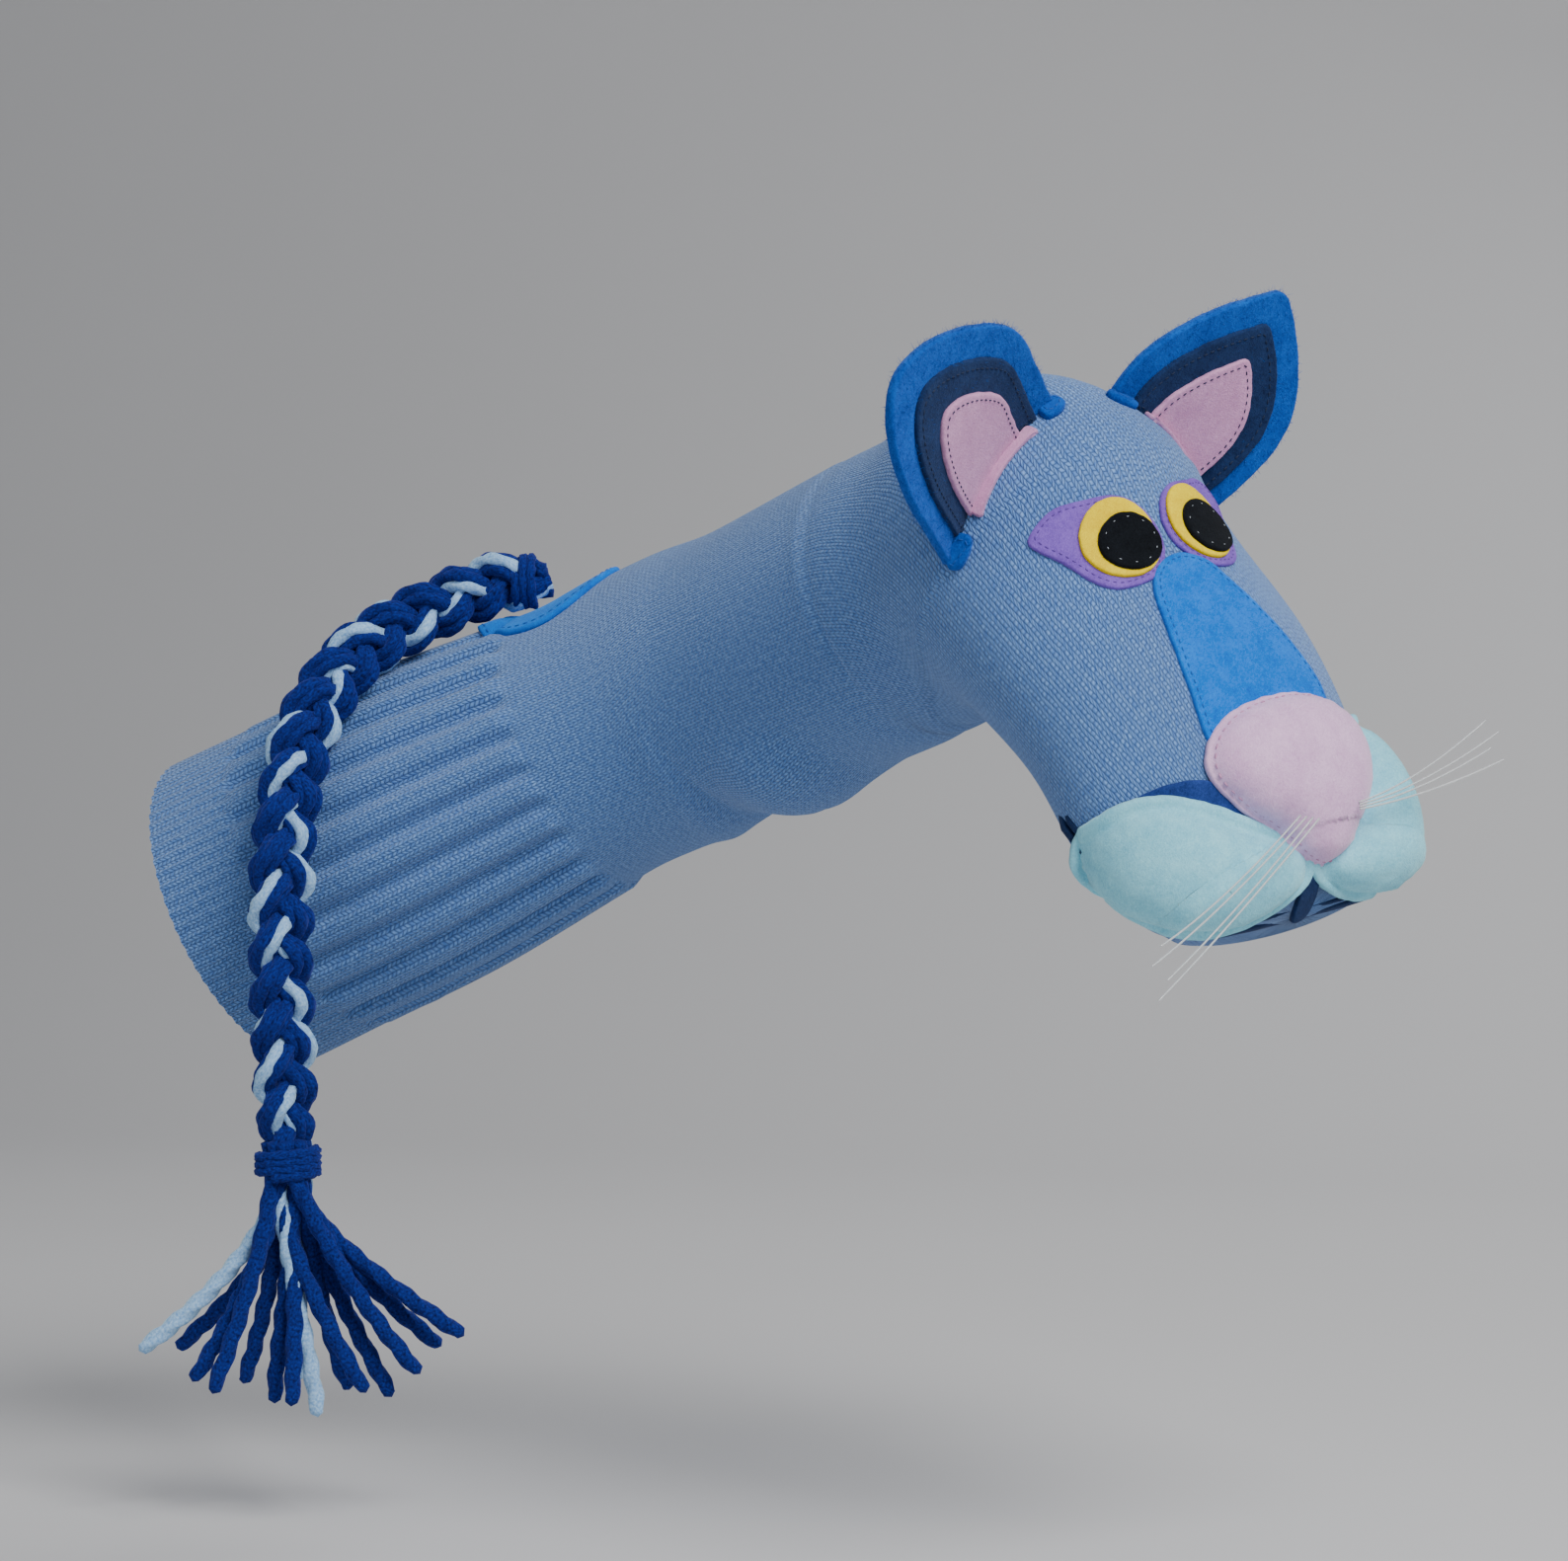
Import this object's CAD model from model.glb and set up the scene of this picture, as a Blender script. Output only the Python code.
# %% [markdown]
# # A big-cat sock puppet
# The puppet is a knitted sock worn on a hand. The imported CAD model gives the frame: where the cuff,
# wrist, knuckles and mouth are, and which body each piece rides on. This script builds the looks on it.
# Lengths are worked out in millimetres, as a maker would measure them, and scaled once on the way into a
# mesh.

# %% Start
import math
import random

import bpy
import numpy as np
from mathutils import Matrix, Vector
from mathutils.bvhtree import BVHTree


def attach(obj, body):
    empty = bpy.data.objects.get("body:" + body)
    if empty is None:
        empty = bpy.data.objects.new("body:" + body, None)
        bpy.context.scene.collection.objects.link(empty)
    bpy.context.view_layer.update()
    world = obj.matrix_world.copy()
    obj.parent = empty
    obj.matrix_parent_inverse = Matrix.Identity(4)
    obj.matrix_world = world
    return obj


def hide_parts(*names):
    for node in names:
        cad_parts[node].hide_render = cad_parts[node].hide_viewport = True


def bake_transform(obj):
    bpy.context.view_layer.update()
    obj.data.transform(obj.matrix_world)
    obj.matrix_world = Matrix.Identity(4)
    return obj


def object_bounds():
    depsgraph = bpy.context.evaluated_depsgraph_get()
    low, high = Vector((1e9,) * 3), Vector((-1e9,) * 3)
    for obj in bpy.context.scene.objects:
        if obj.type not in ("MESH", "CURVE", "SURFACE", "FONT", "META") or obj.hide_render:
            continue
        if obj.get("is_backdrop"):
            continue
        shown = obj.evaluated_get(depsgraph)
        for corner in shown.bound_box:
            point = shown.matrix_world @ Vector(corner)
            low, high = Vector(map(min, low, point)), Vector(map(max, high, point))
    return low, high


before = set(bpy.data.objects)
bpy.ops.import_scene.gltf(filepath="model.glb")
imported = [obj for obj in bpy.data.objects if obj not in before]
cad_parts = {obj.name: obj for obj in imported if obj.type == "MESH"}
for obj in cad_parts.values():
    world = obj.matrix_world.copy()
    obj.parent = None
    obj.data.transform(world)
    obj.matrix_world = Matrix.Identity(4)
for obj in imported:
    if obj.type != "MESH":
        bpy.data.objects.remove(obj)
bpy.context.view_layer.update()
MM = 0.001

# %% [markdown]
# ## Axes of the puppet
# The forearm climbs from the cuff to the wrist, the neck turns towards one side up to the knuckles, and
# the snout hangs down from there. The same few angles as in the CAD source give all three directions.

# %% Axes
tilt = math.radians(24.0)
ARM = np.array([math.cos(tilt), 0, math.sin(tilt)])
ARM_UP = np.array([-math.sin(tilt), 0, math.cos(tilt)])
NEAR = np.array([0, -1.0, 0])
WRIST = ARM * 155.0
KNUCKLE = np.array([247.2, -47.1, 99.5])
NECK = (KNUCKLE - WRIST) / np.linalg.norm(KNUCKLE - WRIST)
NECK_SIDE = np.cross(NECK, [0, 0, 1.0])
NECK_SIDE = NECK_SIDE / np.linalg.norm(NECK_SIDE)
NECK_UP = np.cross(NECK_SIDE, NECK)
yaw, roll, pitch = (math.radians(v) for v in (-30.0, 8.3, 52.0))
ahead = np.array([math.cos(yaw), math.sin(yaw), 0])
LATERAL = np.array([-math.sin(yaw), math.cos(yaw), 0]) * math.cos(roll) + np.array([0, 0,
        1.0]) * math.sin(roll)
above = np.cross(ahead, LATERAL)
SNOUT = ahead * math.cos(pitch) - above * math.sin(pitch)
FACE = np.cross(SNOUT, LATERAL)
rise = math.radians(9.0)
PALATE = SNOUT * math.cos(rise) + FACE * math.sin(rise)
PALATE_UP = FACE * math.cos(rise) - SNOUT * math.sin(rise)


def head_point(d, y, n):
    return KNUCKLE + SNOUT * d + LATERAL * y + FACE * n


MOUTH = head_point(62.0, 0, -8.0)
print("mouth corner", MOUTH.round(1))

# %% [markdown]
# ## Camera, light and floor
# The camera stands level with the puppet, a little to the side of its cuff, with a long lens. One big soft
# light from the upper right does the modelling, and a weak one fills the shaded side.

# %% Camera
view_turn = math.radians(19.0)
RIGHT = np.array([math.cos(view_turn), math.sin(view_turn), 0])
TOWARDS = np.array([math.sin(view_turn), -math.cos(view_turn), 0])
eye = (RIGHT * 155.0 + np.array([0, 0, 37.5]) + TOWARDS * 1100.0) * MM
cam = bpy.data.objects.new("camera", bpy.data.cameras.new("camera"))
bpy.context.collection.objects.link(cam)
cam.location = eye
cam.rotation_euler = Vector(-TOWARDS).to_track_quat("-Z", "Y").to_euler()
cam.data.lens = 87.5
cam.data.sensor_width = 36.0
cam.data.clip_start = 0.01
bpy.context.scene.camera = cam


def soft_light(name, where, aim, size, watts, tint=(1, 1, 1)):
    lamp = bpy.data.lights.new(name, "AREA")
    lamp.energy = watts
    lamp.size = size
    lamp.color = tint
    holder = bpy.data.objects.new(name, lamp)
    bpy.context.collection.objects.link(holder)
    holder.location = where
    holder.rotation_euler = (Vector(aim) - Vector(where)).to_track_quat("-Z", "Y").to_euler()
    return holder


soft_light("key_light", (1.15, -0.85, 1.15), (0.2, -0.03, 0.05), 0.9, 34.0, (1.0, 0.985, 0.96))
soft_light("fill_light", (-0.9, -1.3, 0.35), (0.15, 0, 0.05), 1.2, 5.0, (0.93, 0.96, 1.0))
soft_light("back_light", (0.5, 1.1, 1.0), (0.2, 0, 0.05), 0.8, 6.0)
world = bpy.data.worlds.new("studio")
bpy.context.scene.world = world
world.use_nodes = True
world.node_tree.nodes["Background"].inputs["Color"].default_value = (0.75, 0.78, 0.82, 1)
world.node_tree.nodes["Background"].inputs["Strength"].default_value = 0.27
print("camera", [round(v, 3) for v in eye])

# %% [markdown]
# ## Small helpers for materials
# Every finish is a node tree with the same skeleton, so a few short helpers keep the recipes readable:
# one makes the shader with its constant values, one adds a node, and one turns a height into a bump.


# %% Material helpers
def linear(*rgb):
    return tuple(((c / 255 + 0.055) / 1.055) ** 2.4 if c > 10 else c / 255 / 12.92 for c in rgb) + (1.0,)


def new_finish(name, rough, sheen=0.0, sheen_rough=0.5, specular=0.3, tint=(1, 1, 1, 1)):
    mat = bpy.data.materials.new(name)
    mat.use_nodes = True
    shader = mat.node_tree.nodes["Principled BSDF"]
    shader.inputs["Roughness"].default_value = rough
    shader.inputs["Sheen Weight"].default_value = sheen
    shader.inputs["Sheen Roughness"].default_value = sheen_rough
    shader.inputs["Sheen Tint"].default_value = tint
    shader.inputs["Specular IOR Level"].default_value = specular
    return mat, mat.node_tree, shader


def node(tree, kind, **values):
    made = tree.nodes.new(kind)
    for key, value in values.items():
        if key.startswith("in_"):
            made.inputs[int(key[3:])].default_value = value
        else:
            setattr(made, key, value)
    return made


def maths(tree, operation, a, b=None, clamp=False):
    made = tree.nodes.new("ShaderNodeMath")
    made.operation = operation
    made.use_clamp = clamp
    for slot_at, value in enumerate((a, b)):
        if value is None:
            continue
        if isinstance(value, (int, float)):
            made.inputs[slot_at].default_value = value
        else:
            tree.links.new(value, made.inputs[slot_at])
    return made.outputs[0]


def blend_colour(tree, share, low, high):
    mix = tree.nodes.new("ShaderNodeMix")
    mix.data_type = "RGBA"
    tree.links.new(share, mix.inputs[0])
    for slot_at, value in ((6, low), (7, high)):
        if isinstance(value, tuple):
            mix.inputs[slot_at].default_value = value
        else:
            tree.links.new(value, mix.inputs[slot_at])
    return mix.outputs[2]


def bump(tree, shader, height, distance, strength=1.0):
    made = node(tree, "ShaderNodeBump")
    made.inputs["Strength"].default_value = strength
    made.inputs["Distance"].default_value = distance
    tree.links.new(height, made.inputs["Height"])
    tree.links.new(made.outputs[0], shader.inputs["Normal"])
    return made


# %% [markdown]
# ## Knit finish
# Stocking stitch is columns of small V shapes. The skin carries its own UV map counted in stitches, so one
# unit
# is one stitch in both directions, and the pattern bends with the cloth. Each V is two slanting legs: the
# distance from the middle of the column shifts the row, and a rounded profile across each leg gives the
# height.

# %% Knit finish
def knit_finish(name, light, mid, deep, relief=0.00042):
    mat, tree, shader = new_finish(name, 0.9, 0.35, 0.45, 0.15, (0.75, 0.85, 1.0, 1))
    uv = node(tree, "ShaderNodeUVMap", uv_map="stitches")
    axes = node(tree, "ShaderNodeSeparateXYZ")
    tree.links.new(uv.outputs[0], axes.inputs[0])
    wobble = node(tree, "ShaderNodeTexNoise")
    wobble.inputs["Scale"].default_value = 0.35
    tree.links.new(uv.outputs[0], wobble.inputs["Vector"])
    drift = maths(tree, "MULTIPLY", maths(tree, "SUBTRACT", wobble.outputs[0], 0.5), 0.35)
    across = maths(tree, "SUBTRACT", maths(tree, "FRACT", maths(tree, "ADD", axes.outputs[0], drift)), 0.5)
    off = maths(tree, "ABSOLUTE", across)
    row = maths(tree, "ADD", axes.outputs[1], maths(tree, "MULTIPLY", off, 1.5))
    along = maths(tree, "ABSOLUTE", maths(tree, "SUBTRACT", maths(tree, "FRACT", row), 0.5))
    leg = maths(tree, "ABSOLUTE", maths(tree, "SUBTRACT", off, 0.25))
    round_leg = maths(tree, "SUBTRACT", 1.0, maths(tree, "POWER", maths(tree, "MULTIPLY", leg, 4.0), 2.2),
                      True)
    round_row = maths(tree, "SUBTRACT", 1.0, maths(tree, "POWER", maths(tree, "MULTIPLY", along, 2.0), 2.6),
                      True)
    height = maths(tree, "MULTIPLY", maths(tree, "POWER", round_leg, 0.6),
                   maths(tree, "POWER", round_row, 0.6))
    heather = node(tree, "ShaderNodeTexNoise")
    heather.inputs["Scale"].default_value = 1.3
    heather.inputs["Detail"].default_value = 5.0
    tree.links.new(uv.outputs[0], heather.inputs["Vector"])
    fleck = node(tree, "ShaderNodeMapRange")
    tree.links.new(heather.outputs[0], fleck.inputs[0])
    fleck.inputs[1].default_value = 0.36
    fleck.inputs[2].default_value = 0.66
    body = blend_colour(tree, fleck.outputs[0], mid, light)
    lit = maths(tree, "ADD", maths(tree, "MULTIPLY", height, 0.85), 0.12, True)
    tree.links.new(blend_colour(tree, lit, deep, body), shader.inputs["Base Color"])
    fine = node(tree, "ShaderNodeTexNoise")
    fine.inputs["Scale"].default_value = 9.0
    tree.links.new(uv.outputs[0], fine.inputs["Vector"])
    bump(tree, shader, maths(tree, "ADD", height, maths(tree, "MULTIPLY", fine.outputs[0], 0.25)), relief,
         0.9)
    return mat


KNIT = knit_finish("knit_blue", linear(128, 172, 232), linear(88, 134, 204), linear(38, 66, 124))

# %% [markdown]
# ## Felt, yarn, thread and the rest
# Felt is pressed fibre: matt, a little patchy, with a soft sheen at grazing angles. Yarn is the same wool
# twisted,
# so its colour has fine streaks. Both read Object coordinates, which stay put when the puppet moves.


# %% Felt finish
def felt_finish(name, colour, dark, sheen=0.5, grain=1.0, patch=140.0):
    mat, tree, shader = new_finish(name, 0.96, sheen, 0.4, 0.1,
                                   tuple(min(1, c * 1.6 + 0.12) for c in colour[:3]) + (1,))
    where = node(tree, "ShaderNodeTexCoord")
    patchy = node(tree, "ShaderNodeTexNoise")
    patchy.inputs["Scale"].default_value = patch
    patchy.inputs["Detail"].default_value = 6.0
    patchy.inputs["Roughness"].default_value = 0.7
    tree.links.new(where.outputs["Object"], patchy.inputs["Vector"])
    stretch = node(tree, "ShaderNodeMapping")
    stretch.inputs["Scale"].default_value = (1.0, 0.35, 0.6)
    stretch.inputs["Rotation"].default_value = (0.4, 0.7, 0.3)
    tree.links.new(where.outputs["Object"], stretch.inputs["Vector"])
    fibre = node(tree, "ShaderNodeTexNoise")
    fibre.inputs["Scale"].default_value = 2600.0
    fibre.inputs["Detail"].default_value = 3.0
    fibre.inputs["Distortion"].default_value = 1.2
    tree.links.new(stretch.outputs[0], fibre.inputs["Vector"])
    spread = node(tree, "ShaderNodeMapRange")
    spread.inputs[1].default_value = 0.34
    spread.inputs[2].default_value = 0.64
    tree.links.new(maths(tree, "ADD", maths(tree, "MULTIPLY", patchy.outputs[0], 0.5),
                         maths(tree, "MULTIPLY", fibre.outputs[0], 0.5)), spread.inputs[0])
    tree.links.new(blend_colour(tree, spread.outputs[0], dark, colour), shader.inputs["Base Color"])
    bump(tree, shader, fibre.outputs[0], 0.00025 * grain, 0.8)
    return mat


def strand_finish(name, colour, dark, sheen=0.4, rough=0.9):
    mat, tree, shader = new_finish(name, rough, sheen, 0.5, 0.15,
                                   tuple(min(1, c * 1.5 + 0.1) for c in colour[:3]) + (1,))
    uv = node(tree, "ShaderNodeUVMap", uv_map="strand")
    mapping = node(tree, "ShaderNodeMapping")
    mapping.inputs["Scale"].default_value = (6.0, 1.2, 1.0)
    tree.links.new(uv.outputs[0], mapping.inputs["Vector"])
    streak = node(tree, "ShaderNodeTexNoise")
    streak.inputs["Scale"].default_value = 3.0
    streak.inputs["Detail"].default_value = 5.0
    tree.links.new(mapping.outputs[0], streak.inputs["Vector"])
    spread = node(tree, "ShaderNodeMapRange")
    spread.inputs[1].default_value = 0.32
    spread.inputs[2].default_value = 0.68
    tree.links.new(streak.outputs[0], spread.inputs[0])
    tree.links.new(blend_colour(tree, spread.outputs[0], dark, colour), shader.inputs["Base Color"])
    bump(tree, shader, streak.outputs[0], 0.0002, 0.7)
    return mat


def plain_finish(name, colour, rough, scale=400.0, vary=0.82, distance=0.0001, specular=0.4):
    mat, tree, shader = new_finish(name, rough, 0.0, 0.5, specular)
    where = node(tree, "ShaderNodeTexCoord")
    cloud = node(tree, "ShaderNodeTexNoise")
    cloud.inputs["Scale"].default_value = scale
    cloud.inputs["Detail"].default_value = 4.0
    tree.links.new(where.outputs["Object"], cloud.inputs["Vector"])
    dark = tuple(c * vary for c in colour[:3]) + (1,)
    tree.links.new(blend_colour(tree, cloud.outputs[0], dark, colour), shader.inputs["Base Color"])
    bump(tree, shader, cloud.outputs[0], distance, 0.5)
    return mat


FELT = {
    "bright": felt_finish("felt_bright_blue", linear(16, 128, 232), linear(4, 84, 190)),
    "royal": felt_finish("felt_royal_blue", linear(12, 98, 200), linear(2, 52, 138), 0.6, 1.3),
    "navy": felt_finish("felt_navy", linear(34, 56, 98), linear(14, 28, 60)),
    "pink": felt_finish("felt_pink", linear(236, 196, 236), linear(205, 158, 206)),
    "ear_pink": felt_finish("felt_ear_pink", linear(214, 160, 200), linear(180, 126, 170)),
    "aqua": felt_finish("felt_aqua", linear(158, 230, 246), linear(112, 190, 216)),
    "purple": felt_finish("felt_purple", linear(138, 100, 206), linear(98, 66, 160)),
    "yellow": felt_finish("felt_yellow", linear(252, 226, 12), linear(226, 186, 0)),
    "black": felt_finish("felt_black", linear(20, 24, 30), linear(6, 8, 12), 0.35),
}
YARN_BLUE = strand_finish("yarn_royal", linear(16, 44, 142), linear(4, 12, 62))
YARN_LIGHT = strand_finish("yarn_pale", linear(176, 214, 246), linear(110, 160, 214))
CARD = plain_finish("stiff_card", linear(176, 150, 118), 0.8)
print("felts", len(FELT))


def thread_finish(name, colour):
    return plain_finish(name, colour, 0.7, 1500.0, 0.7, 0.00005, 0.3)


THREAD = {
    "navy": thread_finish("thread_navy", linear(30, 44, 74)),
    "teal": thread_finish("thread_teal", linear(52, 96, 122)),
    "pink": thread_finish("thread_pink", linear(206, 150, 190)),
    "purple": thread_finish("thread_purple", linear(96, 66, 152)),
    "blue": thread_finish("thread_blue", linear(20, 84, 172)),
    "clear": thread_finish("thread_clear", linear(210, 220, 230)),
}
NYLON, nylon_tree, nylon_shader = new_finish("clear_nylon", 0.18, 0.0, 0.5, 0.7)
nylon_shader.inputs["Base Color"].default_value = linear(226, 230, 232)
nylon_shader.inputs["Transmission Weight"].default_value = 0.35
nylon_streak = node(nylon_tree, "ShaderNodeTexNoise")
nylon_streak.inputs["Scale"].default_value = 900.0
bump(nylon_tree, nylon_shader, nylon_streak.outputs[0], 0.00001, 0.2)

# %% [markdown]
# ## The shape of the sock on the hand
# The sock is one soft skin over an arm, a wrist, knuckles and a snout. Adding those few simple shapes with a
# smooth blend gives one distance field, and rays shot from a line inside it find the skin. This keeps one
# even grid
# of wales and courses from the cuff to the nose, which is what a knitted tube is.


# %% Distance field of the hand in the sock
def eased(xs, ys, x):
    xs, ys = np.asarray(xs, float), np.asarray(ys, float)
    slope = np.gradient(ys, xs)
    at = np.clip(np.searchsorted(xs, x) - 1, 0, len(xs) - 2)
    h = xs[at + 1] - xs[at]
    t = np.clip((x - xs[at]) / h, 0, 1)
    a, b = ys[at], ys[at + 1]
    return ((2 * t**3 - 3 * t**2 + 1) * a + (t**3 - 2 * t**2 + t) * h * slope[at]
            + (3 * t**2 - 2 * t**3) * b + (t**3 - t**2) * h * slope[at + 1])


def merge(a, b, soft):
    h = np.clip(0.5 + 0.5 * (b - a) / soft, 0, 1)
    return b + (a - b) * h - soft * h * (1 - h)


def limb(P, start, way, length, at, radii):
    s = (P - start) @ way
    axial = start + np.outer(s, way)
    out = np.linalg.norm(P - axial, axis=1)
    over = np.maximum(s - length, 0) + np.maximum(-s - 10, 0)
    return np.hypot(out, over) - eased(at, radii, np.clip(s, at[0], at[-1]))


HEAD_AT = (0, 28, 60, 92, 108, 116, 121, 124)
HEAD_SHIFT = (0, 1, 2.5, 1.5, 0.8, 0.4, 0, 0)
HEAD_WIDE = (43, 46, 47, 45.5, 41, 36, 28, 6)
HEAD_MID = (2, 3, 5, 0.5, -1.4, -1.6, -1, -1)
HEAD_DEEP = (40, 35, 30.5, 26.5, 20.5, 15, 9, 2)


def hand_in_sock(P):
    arm = limb(P, np.zeros(3), ARM, 155.0, (-10, 0, 25, 60, 112, 135, 155),
               (46, 45.9, 45.3, 44.6, 39.6, 37.6, 37.6))
    neck = limb(P, WRIST, NECK, 118.0, (0, 26, 45, 85, 118), (37.6, 38.4, 38.8, 38.8, 38.2))
    q = P - KNUCKLE
    ball = np.linalg.norm(q, axis=1) - 42.0
    d, y, n = q @ SNOUT, q @ LATERAL, q @ FACE
    dc = np.clip(d, 0, 124)
    wide, deep = eased(HEAD_AT, HEAD_WIDE, dc), eased(HEAD_AT, HEAD_DEEP, dc)
    oval = np.sqrt(((y - eased(HEAD_AT, HEAD_SHIFT, dc)) / wide) ** 2
                   + ((n - eased(HEAD_AT, HEAD_MID, dc)) / deep) ** 2)
    head = np.hypot(np.maximum((oval - 1) * np.sqrt(wide * deep), 0), np.maximum(np.maximum(-d, d - 124), 0))
    head = np.where(head > 0, head, np.maximum((oval - 1) * np.sqrt(wide * deep), np.maximum(-d, d - 124)))
    heel = P - (WRIST + NECK * 30.0 - NECK_UP * 29.0 - NECK_SIDE * -4.0)
    heel = np.sqrt(((heel @ NECK) / 19) ** 2 + ((heel @ NECK_UP) / 17) ** 2 + ((heel @ NECK_SIDE) / 25) ** 2)
    out = merge(arm, neck, 9.0)
    out = merge(out, ball, 7.0)
    out = merge(out, head, 9.0)
    return merge(out, (heel - 1) * 18.0, 5.0)


# %% [markdown]
# ## Rings along the sock
# The line inside the sock follows the forearm, bends at the wrist, follows the neck, and bends at the
# knuckles
# on to the plane of the palate, so the mouth later opens exactly along one row of stitches.


# %% Rings
def turn_between(a, b, share):
    qa, qb = Matrix([list(r) for r in a.T]).to_quaternion(), Matrix([list(r) for r in b.T]).to_quaternion()
    return np.array(qa.slerp(qb, share).to_matrix()).T


def frame_of(way, up):
    return np.array([np.cross(up, way), up, way])


ARM_FRAME, NECK_FRAME, PALATE_FRAME = frame_of(ARM, ARM_UP), frame_of(NECK, NECK_UP), frame_of(PALATE,
        PALATE_UP)
rings = []


def straight(start, way, axes, s0, s1, step):
    count = max(2, round((s1 - s0) / step))
    for i in range(count):
        rings.append((start + way * (s0 + (s1 - s0) * i / count), axes))


def bend(corner, a, b, way_a, way_b, reach, count):
    p, q = corner - way_a * reach, corner + way_b * reach
    for i in range(count):
        t = i / count
        rings.append(((1 - t) ** 2 * p + 2 * t * (1 - t) * corner + t * t * q, turn_between(a, b, t)))


meet = KNUCKLE - NECK * 20.4
straight(np.zeros(3), ARM, ARM_FRAME, 0, 137, 2.0)
bend(WRIST, ARM_FRAME, NECK_FRAME, ARM, NECK, 18.0, 20)
neck_run = np.linalg.norm(meet - WRIST)
straight(WRIST, NECK, NECK_FRAME, 18, neck_run - 24, 2.0)
mouth_at = MOUTH - PALATE * ((MOUTH - meet) @ PALATE)
meet = mouth_at * 0.5 + meet * 0.5
bend(meet, NECK_FRAME, PALATE_FRAME, NECK, PALATE, 24.0, 38)
snout_from = (meet + PALATE * 24 - MOUTH) @ PALATE
KNUCKLE_RING = len(rings)
SNOUT_LINE = MOUTH
straight(SNOUT_LINE, PALATE, PALATE_FRAME, snout_from, 52, 2.0)
for z in (53.5, 55, 56.5, 57.8, 59.0, 60.0, 60.8):
    rings.append((MOUTH + PALATE * z, PALATE_FRAME))
# slide the line gently from where the bend leaves it on to the palate plane
for k in range(KNUCKLE_RING - 10, len(rings)):
    c, axes = rings[k]
    lift = (c - MOUTH) @ PALATE_UP
    rings[k] = (c - PALATE_UP * lift * min(1, (k - KNUCKLE_RING + 11) / 12), axes)
centres = np.array([c for c, a in rings])
frames = np.array([a for c, a in rings])
print("rings", len(rings), "snout starts", round(snout_from, 1))

# %% Rays to the skin
AROUND = 288
angle = np.arange(AROUND) / AROUND * math.tau - math.pi
spokes = np.cos(angle)[None, :, None] * frames[:, 1][:, None, :] + np.sin(angle)[None, :, None] * frames[:,
        0][:, None, :]
reach = np.full((len(rings), AROUND), np.nan)
low = np.zeros_like(reach)
found = np.zeros_like(reach, bool)
for r in np.arange(1.5, 90, 1.5):
    P = centres[:, None, :] + spokes * r
    outside = hand_in_sock(P.reshape(-1, 3)).reshape(reach.shape) > 0
    new = outside & ~found
    low[new] = r - 1.5
    found |= new
high = low + 1.5
for _ in range(9):
    mid = (low + high) / 2
    outside = hand_in_sock((centres[:, None, :] + spokes * mid[:, :, None]).reshape(-1,
            3)).reshape(reach.shape) > 0
    high = np.where(outside, mid, high)
    low = np.where(outside, low, mid)
reach = (low + high) / 2
for _ in range(6):
    reach[1:-3] = 0.5 * reach[1:-3] + 0.25 * (reach[:-4] + reach[2:-2])
    reach = 0.5 * reach + 0.25 * (np.roll(reach, 1, 1) + np.roll(reach, -1, 1))
print("reach", reach.min().round(1), reach.max().round(1), "missed", int((~found).sum()))

# %% [markdown]
# ## Ribs, wales and courses
# The cuff is a double welt of fine ribs, the leg is wide ribs, and the rest is plain. A rib is a row of wales
# standing forward, so it is real relief here: a flat-topped wave added to the skin. The stitch map counts
# wales
# round the tube, and courses by the length already knitted along each wale.

# %% Relief and stitch map
WALES = 144
PER_WALE = AROUND / WALES
COURSE = 1.45
skin = centres[:, None, :] + spokes * reach[:, :, None]


def grid_normals(grid):
    along = np.gradient(grid, axis=0)
    around = (np.roll(grid, -1, 1) - np.roll(grid, 1, 1)) / 2
    n = np.cross(around, along)
    n /= np.maximum(np.linalg.norm(n, axis=2, keepdims=True), 1e-9)
    flip = np.sign(((grid - centres[:, None, :]) * n).sum(2).mean())
    return n * flip


normals = grid_normals(skin)
from_cuff = np.concatenate([[0], np.cumsum(np.linalg.norm(np.diff(centres, axis=0), axis=1))])
leg_s = from_cuff[:, None]
wide = np.clip(np.cos(24 * angle)[None, :] * 1.5 + 0.55, -1, 1)
wide_share = np.clip((leg_s - 24.5) / 2.5, 0, 1) * np.clip((113 - leg_s) / 4, 0, 1)
fine = np.cos(72 * angle)[None, :]
fine_share = np.clip((27 - leg_s) / 2.5, 0, 1)
welt = 0.7 * np.clip((26 - leg_s) / 1.5, 0, 1)
plain = skin.copy()
skin = skin + normals * (1.6 * wide * wide_share + 0.42 * fine * fine_share + welt)[:, :, None]
# soft folds where the cloth is pushed together under the wrist and at the throat
under = np.clip(-np.cos(angle), 0, 1)[None, :] ** 2
wrist_at = from_cuff[np.argmin(np.linalg.norm(centres - WRIST, axis=1))]
folds = np.zeros_like(reach)
for at, wide_mm, depth, lean in ((wrist_at + 5, 4.0, -2.6, 3.0), (wrist_at - 9, 5.5, 1.3, -4.0),
                                 (wrist_at + 44, 6.0, 0.9, 5.0), (wrist_at + 78, 5.0, -1.2, 8.0)):
    folds += depth * np.exp(-((leg_s - at - lean * np.sin(angle)[None, :]) / wide_mm) ** 2) * under
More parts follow.
